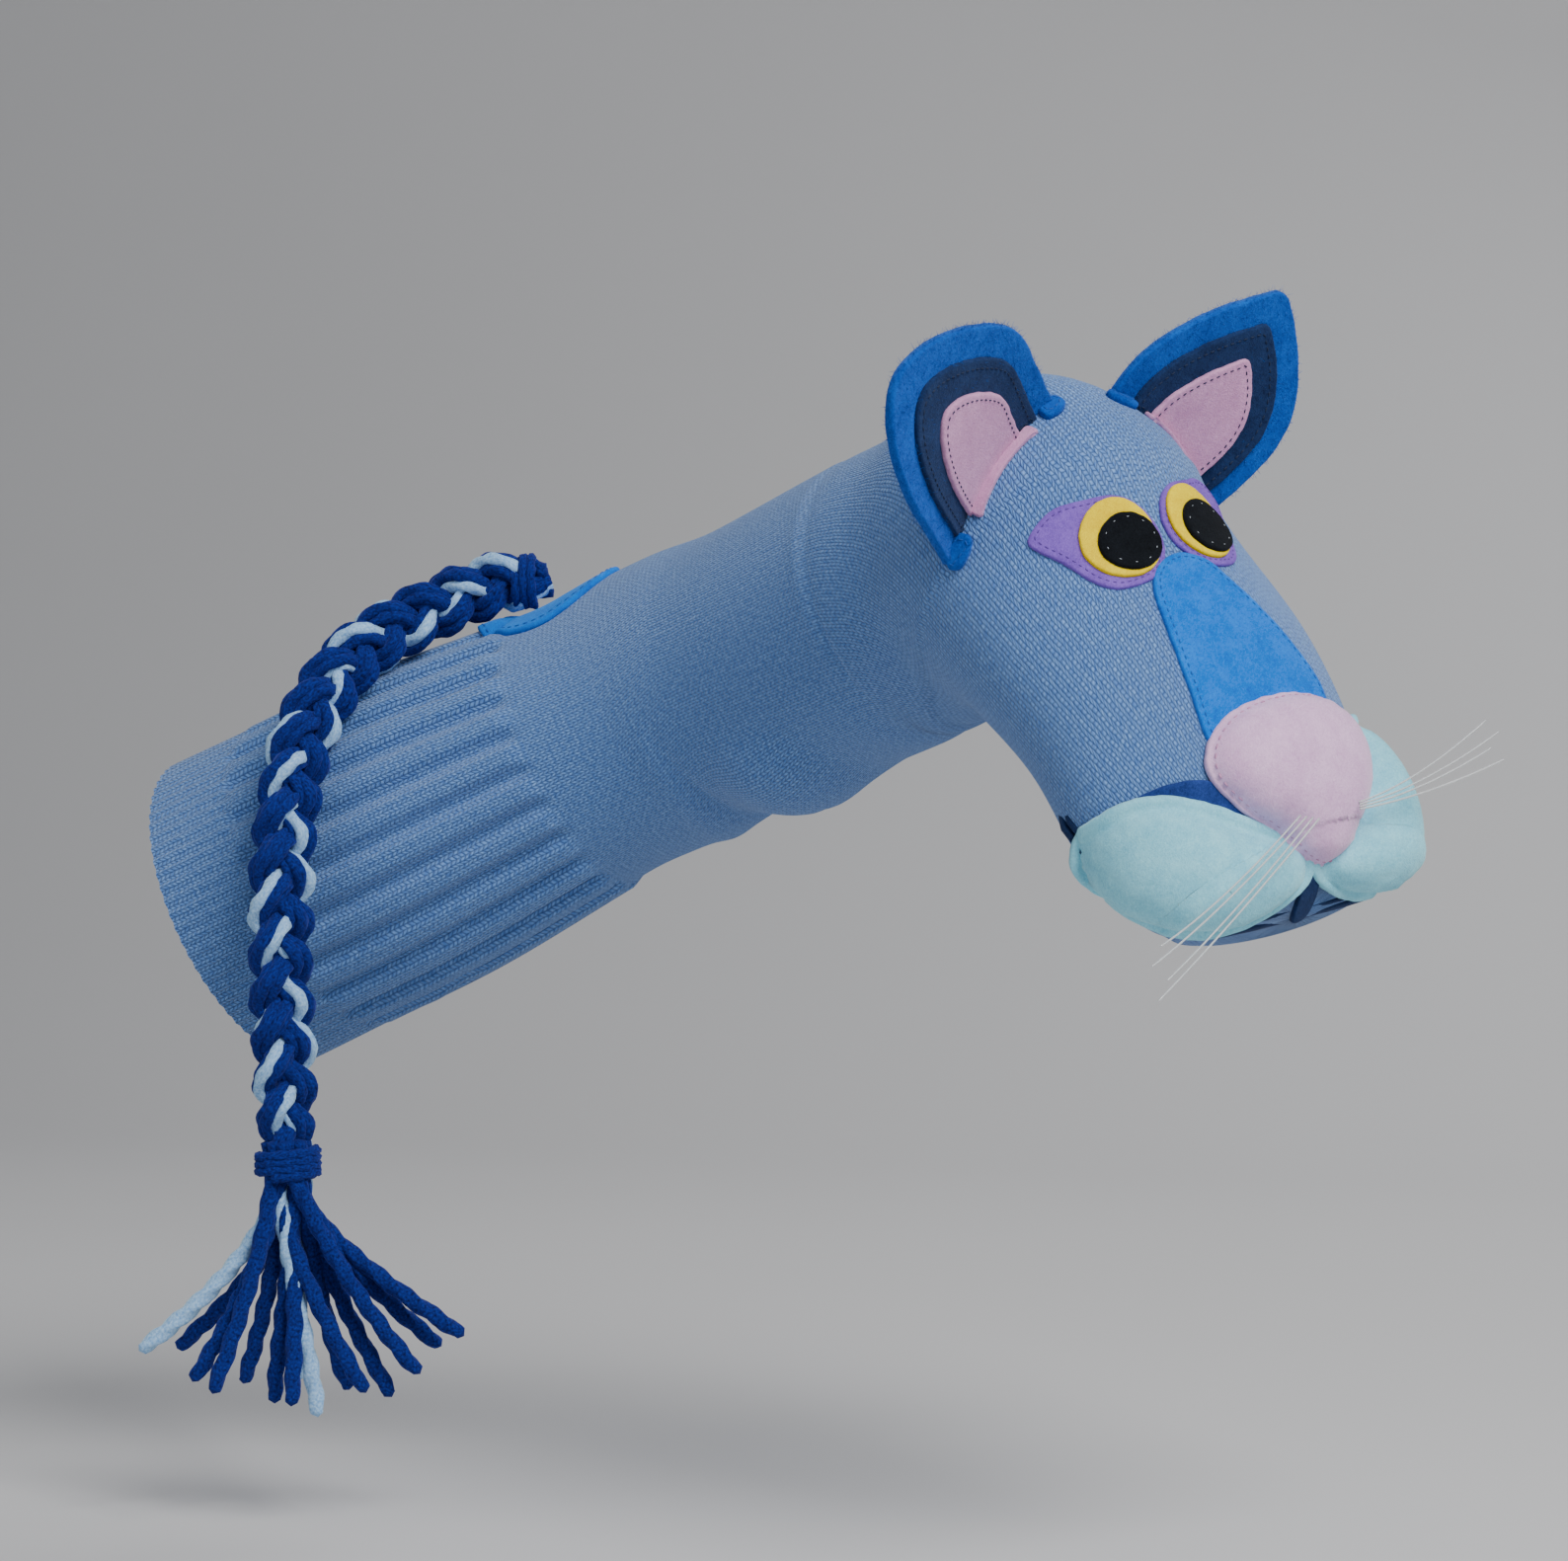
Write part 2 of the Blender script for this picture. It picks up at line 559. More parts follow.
# one long fold slants down the near side, where the wrist bends and the cloth is pushed into the heel
near_share = np.clip(np.cos(angle - math.radians(118)), 0, 1)[None, :] ** 2
slant = wrist_at + 4 + (angle - math.radians(118))[None, :] * 20
folds += near_share * (1.8 * np.exp(-((leg_s - slant + 10) / 6.0) ** 2) - 4.2
                       * np.exp(-((leg_s - slant) / 4.5) ** 2))
sag = 0.5 * np.sin(leg_s / 17.0 + 1.7 * np.sin(angle)[None, :] + 0.6) * np.clip((leg_s - 118) / 12, 0, 1)
skin = skin + normals * (folds + sag * np.clip((wrist_at + 90 - leg_s) / 20, 0, 1))[:, :, None]
normals = grid_normals(skin)
tip = centres[-1] + PALATE * 1.2
courses = np.concatenate([np.zeros((1, AROUND)),
                          np.cumsum(np.linalg.norm(np.diff(plain, axis=0), axis=2), axis=0)]) / COURSE
print("leg length", round(wrist_at, 1), "courses", round(float(courses.max())))

# %% [markdown]
# ## Cutting the skin into wearable pieces
# A piece must ride on one body, or bend between two that share a joint. So the grid is cut along its own
# rings
# and wales: leg, two halves of the wrist, neck with head, and jaw. Neighbours share the same border points
# and
# the same normals, so no seam shows, and every piece has an inner wall 1.6 mm in.

# %% Skin pieces
WALL = 1.6
outer_pts = np.concatenate([skin, np.broadcast_to(tip, (1, AROUND, 3)) + spokes[-1:] * 0.05])
outer_n = np.concatenate([normals, np.broadcast_to(PALATE, (1, AROUND, 3))])
inner_pts = np.concatenate([plain - grid_normals(plain) * WALL,
                            np.broadcast_to(tip - PALATE * WALL, (1, AROUND, 3)) + spokes[-1:] * 0.05])
courses = np.concatenate([courses, courses[-1:] + 1])
ROWS = len(outer_pts)


def make_object(name, verts, faces, finish, smooth=True):
    mesh = bpy.data.meshes.new(name)
    mesh.from_pydata([tuple(v) for v in np.asarray(verts) * MM], [],
                     [tuple(int(i) for i in f) for f in faces])
    mesh.validate()
    if smooth:
        mesh.shade_smooth()
    mesh.materials.append(finish)
    made = bpy.data.objects.new(name, mesh)
    bpy.context.collection.objects.link(made)
    return made


def skin_piece(name, mask):
    # mask[k, j] keeps the quad between rings k, k + 1 and wales j, j + 1
    ks, js = np.nonzero(mask)
    jn = (js + 1) % AROUND
    out_id = lambda k, j: k * AROUND + j
    total = ROWS * AROUND
    quads = [np.stack([out_id(ks, js), out_id(ks, jn), out_id(ks + 1, jn), out_id(ks + 1, js)], 1)]
    quads.append(total + quads[0][:, ::-1])
    uvs = [np.stack([np.stack([js / PER_WALE, js / PER_WALE + 0.5, js / PER_WALE + 0.5, js / PER_WALE], 1),
                     np.stack([courses[ks, js], courses[ks, jn], courses[ks + 1, jn], courses[ks + 1, js]],
                              1)], 2)]
    uvs.append(uvs[0][:, ::-1])
    rims, rim_uv = [], []
    for dk, dj in ((-1, 0), (1, 0), (0, -1), (0, 1)):
        kk, jj = ks + dk, (js + dj) % AROUND
        edge = (kk < 0) | (kk >= mask.shape[0])
        edge |= ~mask[np.clip(kk, 0, mask.shape[0] - 1), jj]
        k, j, n = ks[edge], js[edge], jn[edge]
        if dk == -1:
            a, b = (k, n), (k, j)
        elif dk == 1:
            a, b = (k + 1, j), (k + 1, n)
        elif dj == -1:
            a, b = (k, j), (k + 1, j)
        else:
            a, b = (k + 1, n), (k, n)
        if dk == 1:
            keep = a[0] < ROWS - 1
            a, b = (a[0][keep], a[1][keep]), (b[0][keep], b[1][keep])
        rims.append(np.stack([out_id(*a), out_id(*b), total + out_id(*b), total + out_id(*a)], 1))
        rim_uv.append(np.stack([np.stack([a[1] / PER_WALE, b[1] / PER_WALE, b[1] / PER_WALE, a[1] / PER_WALE],
                                         1),
                                np.stack([courses[a], courses[b], courses[b] + 1, courses[a] + 1], 1)], 2))
    quads = np.concatenate(quads + rims)
    uvs = np.concatenate(uvs + rim_uv)
    used, flat = np.unique(quads, return_inverse=True)
    quads = flat.reshape(quads.shape)
    everything = np.concatenate([outer_pts.reshape(-1, 3), inner_pts.reshape(-1, 3)])[used]
    # the winding that makes the outer faces look outwards
    a, b, c = (everything[quads[0][i]] for i in (0, 1, 2))
    if np.dot(np.cross(b - a, c - a), outer_n.reshape(-1, 3)[used[quads[0][0]]]) < 0:
        quads, uvs = quads[:, ::-1], uvs[:, ::-1]
    mesh = bpy.data.meshes.new(name)
    mesh.from_pydata((everything * MM).tolist(), [], quads.tolist())
    mesh.shade_smooth()
    layer = mesh.uv_layers.new(name="stitches")
    layer.data.foreach_set("uv", uvs.reshape(-1))
    way = np.concatenate([outer_n.reshape(-1, 3), -outer_n.reshape(-1, 3)])[used]
    loops = way[quads.reshape(-1)].reshape(-1, 4, 3)
    rim_from = 2 * len(ks)
    for i in range(rim_from, len(quads)):
        p = everything[quads[i]]
        n = np.cross(p[1] - p[0], p[2] - p[0])
        loops[i] = n / max(np.linalg.norm(n), 1e-9)
    mesh.materials.append(KNIT)
    mesh.normals_split_custom_set([tuple(v) for v in loops.reshape(-1, 3)])
    made = bpy.data.objects.new(name, mesh)
    bpy.context.collection.objects.link(made)
    print(name, "faces", len(quads))
    return made


def rows(k0, k1):
    mask = np.zeros((ROWS - 1, AROUND), bool)
    mask[k0:k1] = True
    return mask


def ring_at(s):
    return int(np.argmin(np.abs(from_cuff - s)))


MID = int(np.argmin(np.linalg.norm(centres - (WRIST * 2 + WRIST - ARM * 18 + WRIST + NECK * 18) / 4, axis=1)))
after_wrist = ring_at(from_cuff[MID] + 46)
snout_z = (centres - MOUTH) @ PALATE
throat = int(np.argmax((snout_z > -24) & (np.arange(len(centres)) > after_wrist + 20)))
mouth_row = int(np.argmax((snout_z >= -0.01) & (np.arange(len(centres)) > after_wrist + 20)))
lower_half = np.zeros(AROUND, bool)
lower_half[:72] = True
lower_half[216:] = True
jaw_mask = rows(throat, ROWS - 1) & lower_half[None, :]
head_mask = rows(after_wrist, ROWS - 1) & ~jaw_mask
welt_skin = skin_piece("knit_welt", rows(0, ring_at(25)))
leg_skin = skin_piece("knit_ribbed_leg", rows(ring_at(25), ring_at(112)))
wrist_rear = skin_piece("knit_ankle", rows(ring_at(112), MID))
wrist_front = skin_piece("knit_wrist", rows(MID, after_wrist))
head_skin = skin_piece("knit_neck_and_head", head_mask)
jaw_skin = skin_piece("knit_jaw", jaw_mask)
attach(welt_skin, "leg")
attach(leg_skin, "leg")
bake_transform(wrist_rear)
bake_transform(wrist_front)
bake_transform(head_skin)
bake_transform(jaw_skin)
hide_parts("cuff_welt")
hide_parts("ribbed_leg")
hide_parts("ankle_knit")
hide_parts("wrist_gusset")
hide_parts("neck_knit", "nape_knit", "heel_pocket", "head_knit")
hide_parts("jaw_knit")

# %% [markdown]
# ## Felt laid on the skin
# Every felt piece is cut flat and sewn down, so it bends with whatever is under it. Here each outline is
# drawn in
# a plane in front of the head and dropped on to the skin with rays. A piece is a closed form: a top with
# rounded
# edges, an underside on the skin, and as much height in the middle as its stuffing gives.

# %% Rays on to the skin
skin_quads = [(k * AROUND + j, k * AROUND + (j + 1) % AROUND, (k + 1) * AROUND + (j + 1) % AROUND,
               (k + 1) * AROUND + j)
              for k in range(ROWS - 1) for j in range(AROUND)]
SKIN_TREE = BVHTree.FromPolygons([tuple(v) for v in outer_pts.reshape(-1, 3)], skin_quads)


def drop(origin, ax, ay, az, calm=0.5, deepest=200.0):
    # a function that drops flat points on to the skin, and gives the way the cloth stands there
    def surface(flat):
        places, ways = [], []
        for x, y in flat:
            start = origin + ax * x + ay * y + az * 60
            hit = SKIN_TREE.ray_cast(Vector(start), Vector(-az), 60 + deepest)
            place_at = np.array(hit[0]) if hit[0] is not None else start - az * (60 + deepest)
            way = np.array(hit[1]) if hit[0] is not None else az
            way = way * (1 if way @ az > 0 else -1)
            places.append(place_at)
            ways.append(way)
        places, ways = np.array(places), np.array(ways)
        ways = ways * (1 - calm) + az * calm
        return places, ways / np.linalg.norm(ways, axis=1, keepdims=True)
    return surface


def round_line(points, count, closed=True):
    # a smooth line through a few points, evenly spaced
    pts = np.array(points, float)
    n = len(pts)
    fine = []
    for i in range(n if closed else n - 1):
        p0, p1 = pts[(i - 1) % n if closed else max(i - 1, 0)], pts[i]
        p2, p3 = pts[(i + 1) % n], pts[(i + 2) % n if closed else min(i + 2, n - 1)]
        for t in np.linspace(0, 1, 24, endpoint=False):
            fine.append(0.5 * (2 * p1 + (p2 - p0) * t + (2 * p0 - 5 * p1 + 4 * p2 - p3) * t * t
                               + (3 * p1 - p0 - 3 * p2 + p3) * t ** 3))
    fine.append(pts[0] if closed else pts[-1])
    fine = np.array(fine)
    s = np.concatenate([[0], np.cumsum(np.linalg.norm(np.diff(fine, axis=0), axis=1))])
    want = np.linspace(0, s[-1], count + 1)[:-1] if closed else np.linspace(0, s[-1], count)
    return np.stack([np.interp(want, s, fine[:, i]) for i in range(fine.shape[1])], 1)


def felt_piece(name, finish, outline, surface, low, thick, crown=None, edge_round=0.5, steps=14, centre=None,
               jitter=0.12):
    # outline: even closed line in flat millimetres; crown: extra height by distance from the edge
    line = np.array(outline, float)
    n = len(line)
    wave = random.Random(len(name) * 7 + n)
    rough = np.array([wave.uniform(-jitter, jitter) for _ in range(n)])
    rough = 0.5 * rough + 0.25 * np.roll(rough, 1) + 0.25 * np.roll(rough, -1)
    mid = np.mean(line, axis=0) if centre is None else np.array(centre, float)
    arm_len = np.linalg.norm(line - mid, axis=1)
    line = mid + (line - mid) * (1 + rough / arm_len)[:, None]
    arm_len = np.linalg.norm(line - mid, axis=1)
    # rings from the edge inwards: close together at the edge, for its roundness
    near = [0, 0.12, 0.35, 0.7, 1.2, 1.8, 2.6, 3.4, 4.2, 5.2, 6.5]
    rings_in = [e for e in near if e < arm_len.min() * 0.6]
    rings_in = [(e, None) for e in rings_in] + [(None, f) for f in np.linspace(0, 1, steps)[1:-1]]
    base = rings_in[len([r for r in rings_in if r[1] is None]) - 1][0]
    tops, lows, ways = [], [], []
    for e, f in rings_in:
        inset = np.full(n, e) if f is None else base + (arm_len - base) * f
        flat = mid + (line - mid) * (1 - inset / arm_len)[:, None]
        at, way = surface(flat)
        depth = np.clip(1 - inset / edge_round, 0, 1)
        top = low + thick - edge_round * (1 - np.sqrt(np.clip(1 - depth ** 2, 0, 1)))
        if crown is not None:
            top = top + crown(inset, flat, arm_len)
        tops.append(at + way * np.broadcast_to(top, (n,))[:, None])
        lows.append(at + way * (low - 0.25))
        ways.append(way)
    pole_at, pole_way = surface(mid[None, :])
    high = low + thick + (0 if crown is None
                          else float(np.atleast_1d(crown(arm_len.max(), mid[None, :], arm_len))[0]))
    tops_flat = np.concatenate(tops + [pole_at + pole_way * high])
    lows_flat = np.concatenate(lows + [pole_at + pole_way * (low - 0.25)])
    verts = np.concatenate([tops_flat, lows_flat])
    m, half = len(rings_in), len(tops_flat)
    faces = []
    for k in range(m - 1):
        for i in range(n):
            j = (i + 1) % n
            faces.append((k * n + i, k * n + j, (k + 1) * n + j, (k + 1) * n + i))
    for i in range(n):
        faces.append(((m - 1) * n + i, (m - 1) * n + (i + 1) % n, m * n))
    faces = faces + [tuple(half + v for v in reversed(f)) for f in faces]
    faces += [((i + 1) % n, i, half + i, half + (i + 1) % n) for i in range(n)]
    a, b, c = (verts[faces[len(faces) // 4][i]] for i in (0, 1, 2))
    if np.cross(b - a, c - a) @ ways[0].mean(0) < 0:
        faces = [tuple(reversed(f)) for f in faces]
    made = make_object(name, verts, faces, finish)
    area = sum(p.area for p in made.data.polygons[:len(faces) // 2])
    return made, area


# %% [markdown]
# ## Sewing
# A running stitch is the same short loop of thread again and again along a line, so Geometry Nodes lay it:
# the seam line is cut into even steps, a small capsule goes on every step, turned along the line, and the
# copies
# become real mesh. A second tree grows loose fibres from felt, which is what makes its edges look soft.


# %% Geometry Nodes trees for stitches and fibres
def start_tree(name, inputs):
    tree = bpy.data.node_groups.new(name, "GeometryNodeTree")
    tree.interface.new_socket("Geometry", in_out="INPUT", socket_type="NodeSocketGeometry")
    tree.interface.new_socket("Geometry", in_out="OUTPUT", socket_type="NodeSocketGeometry")
    for label, kind, value in inputs:
        made = tree.interface.new_socket(label, in_out="INPUT", socket_type=kind)
        if value is not None:
            made.default_value = value
    return tree, tree.nodes.new("NodeGroupInput"), tree.nodes.new("NodeGroupOutput")


def link(tree, a, out, b, into):
    tree.links.new(a.outputs[out], b.inputs[into])


stitch_tree, given, result = start_tree("running_stitch", [
    ("Pitch", "NodeSocketFloat", 0.003), ("Stitch", "NodeSocketVector", (0.001, 0.0003, 0.0003)),
    ("Thread", "NodeSocketMaterial", None)])
steps_node = stitch_tree.nodes.new("GeometryNodeResampleCurve")
steps_node.mode = "LENGTH"
bead = stitch_tree.nodes.new("GeometryNodeMeshUVSphere")
bead.inputs["Segments"].default_value = 8
bead.inputs["Rings"].default_value = 5
bead.inputs["Radius"].default_value = 1.0
along_line = stitch_tree.nodes.new("GeometryNodeInputTangent")
turn_node = stitch_tree.nodes.new("FunctionNodeAlignRotationToVector")
turn_node.axis = "X"
copies = stitch_tree.nodes.new("GeometryNodeInstanceOnPoints")
solid_node = stitch_tree.nodes.new("GeometryNodeRealizeInstances")
dye = stitch_tree.nodes.new("GeometryNodeSetMaterial")
link(stitch_tree, given, "Geometry", steps_node, "Curve")
link(stitch_tree, given, "Pitch", steps_node, "Length")
link(stitch_tree, steps_node, "Curve", copies, "Points")
link(stitch_tree, bead, "Mesh", copies, "Instance")
link(stitch_tree, along_line, "Tangent", turn_node, "Vector")
link(stitch_tree, turn_node, "Rotation", copies, "Rotation")
link(stitch_tree, given, "Stitch", copies, "Scale")
link(stitch_tree, copies, "Instances", solid_node, "Geometry")
link(stitch_tree, solid_node, "Geometry", dye, "Geometry")
link(stitch_tree, given, "Thread", dye, "Material")
link(stitch_tree, dye, "Geometry", result, "Geometry")

fuzz_tree, given, result = start_tree("felt_fuzz", [
    ("Density", "NodeSocketFloat", 300000.0), ("Seed", "NodeSocketInt", 1),
    ("Long", "NodeSocketFloat", 0.0014), ("Thick", "NodeSocketFloat", 0.00005),
    ("Fibre", "NodeSocketMaterial", None)])
scatter = fuzz_tree.nodes.new("GeometryNodeDistributePointsOnFaces")
hair = fuzz_tree.nodes.new("GeometryNodeMeshCone")
hair.inputs["Vertices"].default_value = 3
hair.inputs["Side Segments"].default_value = 1
hair.inputs["Radius Top"].default_value = 0.4
hair.inputs["Radius Bottom"].default_value = 1.0
hair.inputs["Depth"].default_value = 1.0
lean = fuzz_tree.nodes.new("FunctionNodeRandomValue")
lean.data_type = "FLOAT_VECTOR"
lean.inputs[0].default_value = (-1.15, -1.15, -3.1)
lean.inputs[1].default_value = (1.15, 1.15, 3.1)
turn_more = fuzz_tree.nodes.new("FunctionNodeRotateRotation")
to_rotation = fuzz_tree.nodes.new("FunctionNodeEulerToRotation")
size_mix = fuzz_tree.nodes.new("FunctionNodeRandomValue")
size_mix.data_type = "FLOAT"
size_mix.inputs[2].default_value = 0.4
size_mix.inputs[3].default_value = 1.3
grow_long = fuzz_tree.nodes.new("ShaderNodeMath")
grow_long.operation = "MULTIPLY"
shape = fuzz_tree.nodes.new("ShaderNodeCombineXYZ")
copies = fuzz_tree.nodes.new("GeometryNodeInstanceOnPoints")
solid_node = fuzz_tree.nodes.new("GeometryNodeRealizeInstances")
dye = fuzz_tree.nodes.new("GeometryNodeSetMaterial")
link(fuzz_tree, given, "Geometry", scatter, "Mesh")
link(fuzz_tree, given, "Density", scatter, "Density")
link(fuzz_tree, given, "Seed", scatter, "Seed")
link(fuzz_tree, given, "Seed", lean, "Seed")
link(fuzz_tree, given, "Seed", size_mix, "Seed")
link(fuzz_tree, scatter, "Points", copies, "Points")
link(fuzz_tree, hair, "Mesh", copies, "Instance")
link(fuzz_tree, scatter, "Rotation", turn_more, "Rotation")
fuzz_tree.links.new(lean.outputs[0], to_rotation.inputs[0])
link(fuzz_tree, to_rotation, "Rotation", turn_more, "Rotate By")
link(fuzz_tree, turn_more, "Rotation", copies, "Rotation")
fuzz_tree.links.new(size_mix.outputs[1], grow_long.inputs[0])
link(fuzz_tree, given, "Long", grow_long, 1)
for slot_at in (0, 1):
    link(fuzz_tree, given, "Thick", shape, slot_at)
fuzz_tree.links.new(grow_long.outputs[0], shape.inputs[2])
link(fuzz_tree, shape, "Vector", copies, "Scale")
link(fuzz_tree, copies, "Instances", solid_node, "Geometry")
link(fuzz_tree, solid_node, "Geometry", dye, "Geometry")
link(fuzz_tree, given, "Fibre", dye, "Material")
link(fuzz_tree, dye, "Geometry", result, "Geometry")
print("trees", [t.name for t in bpy.data.node_groups])


# %% Growing a mesh from a tree
def grown(source, tree, name, finish, **settings):
    made_by = source.modifiers.new("grow", "NODES")
    made_by.node_group = tree
    for item in tree.interface.items_tree:
        if item.item_type == "SOCKET" and item.in_out == "INPUT" and item.name in settings:
            made_by[item.identifier] = settings[item.name]
    bpy.context.view_layer.update()
    mesh = bpy.data.meshes.new_from_object(source.evaluated_get(bpy.context.evaluated_depsgraph_get()))
    source.modifiers.remove(made_by)
    mesh.name = name
    mesh.shade_smooth()
    mesh.materials.clear()
    mesh.materials.append(finish)
    piece = bpy.data.objects.new(name, mesh)
    bpy.context.collection.objects.link(piece)
    return piece


def line_object(points, closed=True):
    # a smooth curve through even points (millimetres), used as a seam line
    curve = bpy.data.curves.new("seam", "CURVE")
    curve.dimensions = "3D"
    spline = curve.splines.new("POLY")
    spline.points.add(len(points) - 1)
    for item, p in zip(spline.points, np.asarray(points) * MM):
        item.co = (*p, 1)
    spline.use_cyclic_u = closed
    made = bpy.data.objects.new("seam", curve)
    bpy.context.collection.objects.link(made)
    return made


def stitches(name, body, points, thread, pitch=2.6, size=(0.85, 0.3, 0.26), closed=True):
    seam = line_object(points, closed)
    made = grown(seam, stitch_tree, name, THREAD[thread], Pitch=pitch * MM,
                 Stitch=tuple(s * MM for s in size), Thread=THREAD[thread])
    bpy.data.objects.remove(seam)
    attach(made, body)
    return made


def fuzz(piece, name, body, finish, density, seed, long=1.3, thick=0.05):
    made = grown(piece, fuzz_tree, name, finish, Density=density * 1e6, Seed=seed, Long=long * MM,
                 Thick=thick * MM, Fibre=finish)
    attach(made, body)
    print(name, "faces", len(made.data.polygons))
    return made


def inset_line(outline, by):
    pts = np.array(outline)
    tangent = np.roll(pts, -1, 0) - np.roll(pts, 1, 0)
    tangent /= np.maximum(np.linalg.norm(tangent, axis=1, keepdims=True), 1e-9)
    side = np.stack([-tangent[:, 1], tangent[:, 0]], 1)
    if ((pts.mean(0) - pts) * side).sum() < 0:
        side = -side
    return pts + side * by


def on_top(outline, surface, height):
    at, way = surface(outline)
    return at + way * height


# %% [markdown]
# ## Eyes and bridge of the nose
# Each eye is three flat felts on top of each other: a purple almond, a yellow round and a black pupil that
# looks
# inwards and down. A bright wedge runs from between the eyes to the nose. The outlines are drawn sideways and
# down the snout, and dropped square to the face.

# %% Eyes and bridge
face_drop = drop(KNUCKLE, LATERAL, SNOUT, FACE, 0.15)
EYE_D, EYE_OUT, EYE_SHIFT = 29.5, 12.8, -3.4
SIDES = {"left": -1, "right": 1}


def circle_line(cx, cy, rx, ry, count=72, turn=0.0):
    t = np.linspace(0, math.tau, count, endpoint=False)
    x, y = rx * np.cos(t), ry * np.sin(t)
    return np.stack([cx + x * math.cos(turn) - y * math.sin(turn),
                     cy + x * math.sin(turn) + y * math.cos(turn)], 1)


# the almond about the middle of the eye: towards the nose, and down the snout
ALMOND = ((-18.0, -10.0), (-14.5, -12.9), (-10.3, -13.8), (-4.5, -12.7), (4.0, -11.0), (9.5, -6.5), (11.6, 0),
          (10.0, 6.5),
          (4.4, 11.9), (-4.8, 12.4), (-10.2, 8.4), (-14.2, -0.5), (-17.2, -6.2))


for side, sgn in SIDES.items():
    eye_y = EYE_SHIFT + sgn * EYE_OUT
    almond = round_line([(eye_y - sgn * x, EYE_D + d) for x, d in ALMOND][::-sgn], 110)
    iris = circle_line(eye_y, EYE_D, 9.9, 10.8, 84)
    pupil = circle_line(eye_y + 1.3, EYE_D + 1.9, 7.9, 7.9, 72)
    for part, finish, line, low, thick in (("eye_patch", "purple", almond, 0.05, 1.0),
                                           ("iris", "yellow", iris, 1.05, 1.1),
                                           ("pupil", "black", pupil, 2.15, 1.1)):
        made, area = felt_piece(f"{part}_felt_{side}", FELT[finish], line, face_drop, low, thick,
                                edge_round=0.5)
        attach(made, "head")
        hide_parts(f"{part}_{side}")
    stitches(f"eye_patch_stitches_{side}", "head", on_top(inset_line(almond, 1.4), face_drop, 1.06), "purple",
             1.9, (0.55, 0.2, 0.16))
    stitches(f"pupil_thread_{side}", "head", on_top(inset_line(pupil, 1.5), face_drop, 3.26), "clear", 4.6,
             (0.32, 0.09, 0.07))
bridge = round_line([(-10.5, 39.0), (-3, 37.0), (4.8, 40.2), (8.8, 46.5), (15, 57), (21, 67.8), (24.5, 78),
                     (20, 88), (5, 91), (-10, 90),
                     (-20.0, 86), (-19.5, 70.6), (-17.2, 53), (-14.8, 44)], 150)
bridge_felt, area = felt_piece("nose_bridge_felt", FELT["bright"], bridge, face_drop, 0.05, 1.2,
                               edge_round=0.55, centre=(-2, 66))
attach(bridge_felt, "head")
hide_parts("nose_bridge")
stitches("nose_bridge_stitches", "head", on_top(inset_line(bridge, 1.5), face_drop, 1.28), "blue", 2.2,
         (0.6, 0.2, 0.16))

# %% [markdown]
# ## Stuffed nose and muzzle pads
# These are felts sewn down near their edge over a pinch of loose fibre, so they crown steeply from a flat
# seam
# allowance. The seam line is a groove, and the cloth outside it lies flat on the knit.

# %% Nose and pads
nose_way = FACE * math.cos(math.radians(31)) + SNOUT * math.sin(math.radians(31))
nose_across = LATERAL - nose_way * (LATERAL @ nose_way)
nose_across /= np.linalg.norm(nose_across)
nose_drop = drop(head_point(96, 2.8, 20.5), nose_across, np.cross(nose_way, nose_across), nose_way, 0.55)
nose_line = round_line([(-26.5, 4), (-24.5, 12), (-17, 18.0), (-6, 20.6), (6, 20.6), (17, 18.0), (25, 12),
                        (27.5, 4),
                        (24.5, -5), (17.5, -12.5), (9.5, -19.0), (1.0, -22), (-6.5, -18.5), (-14, -11),
                        (-21.5, -4.5)], 150)


def stuffed(seam_at, high, power=2.3, bite=0.5):
    def crown(inset, flat, arm_len):
        g = np.clip((inset - seam_at) / np.maximum(arm_len - seam_at, 1e-6), 0, 1)
        dome = high * (1 - (1 - g) ** power) ** 0.62
        groove = -bite * np.exp(-((np.asarray(inset) - seam_at) / 0.7) ** 2)
        return dome + groove
    return crown


nose_pad, _ = felt_piece("nose_pad", FELT["pink"], nose_line, nose_drop, 0.9, 1.5,
                         stuffed(0.9, 9.0, 3.0, 0.15), 0.8, 16, (1, 0), 0.2)
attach(nose_pad, "head")
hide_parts("nose_felt", "nose_stuffing")
stitches("nose_stitches", "head", on_top(inset_line(nose_line, 1.1), nose_drop, 3.4), "pink", 2.5,
         (0.75, 0.26, 0.22))
PAD_LINE = [(-28.9, -0.2), (-27.5, 6.5), (-24.0, 12.2), (-18.4, 16.8), (-10.6, 19.0), (-1.1, 18.4),
            (7.8, 15.9), (16.9, 12.5),
            (24.0, 9.0), (29.5, 5.0), (29.0, -1.2), (20.1, -7.2), (9.9, -11.1), (-0.6, -12.7), (-10.9, -12.3),
            (-20.6, -10.2), (-27.0, -5.7)]
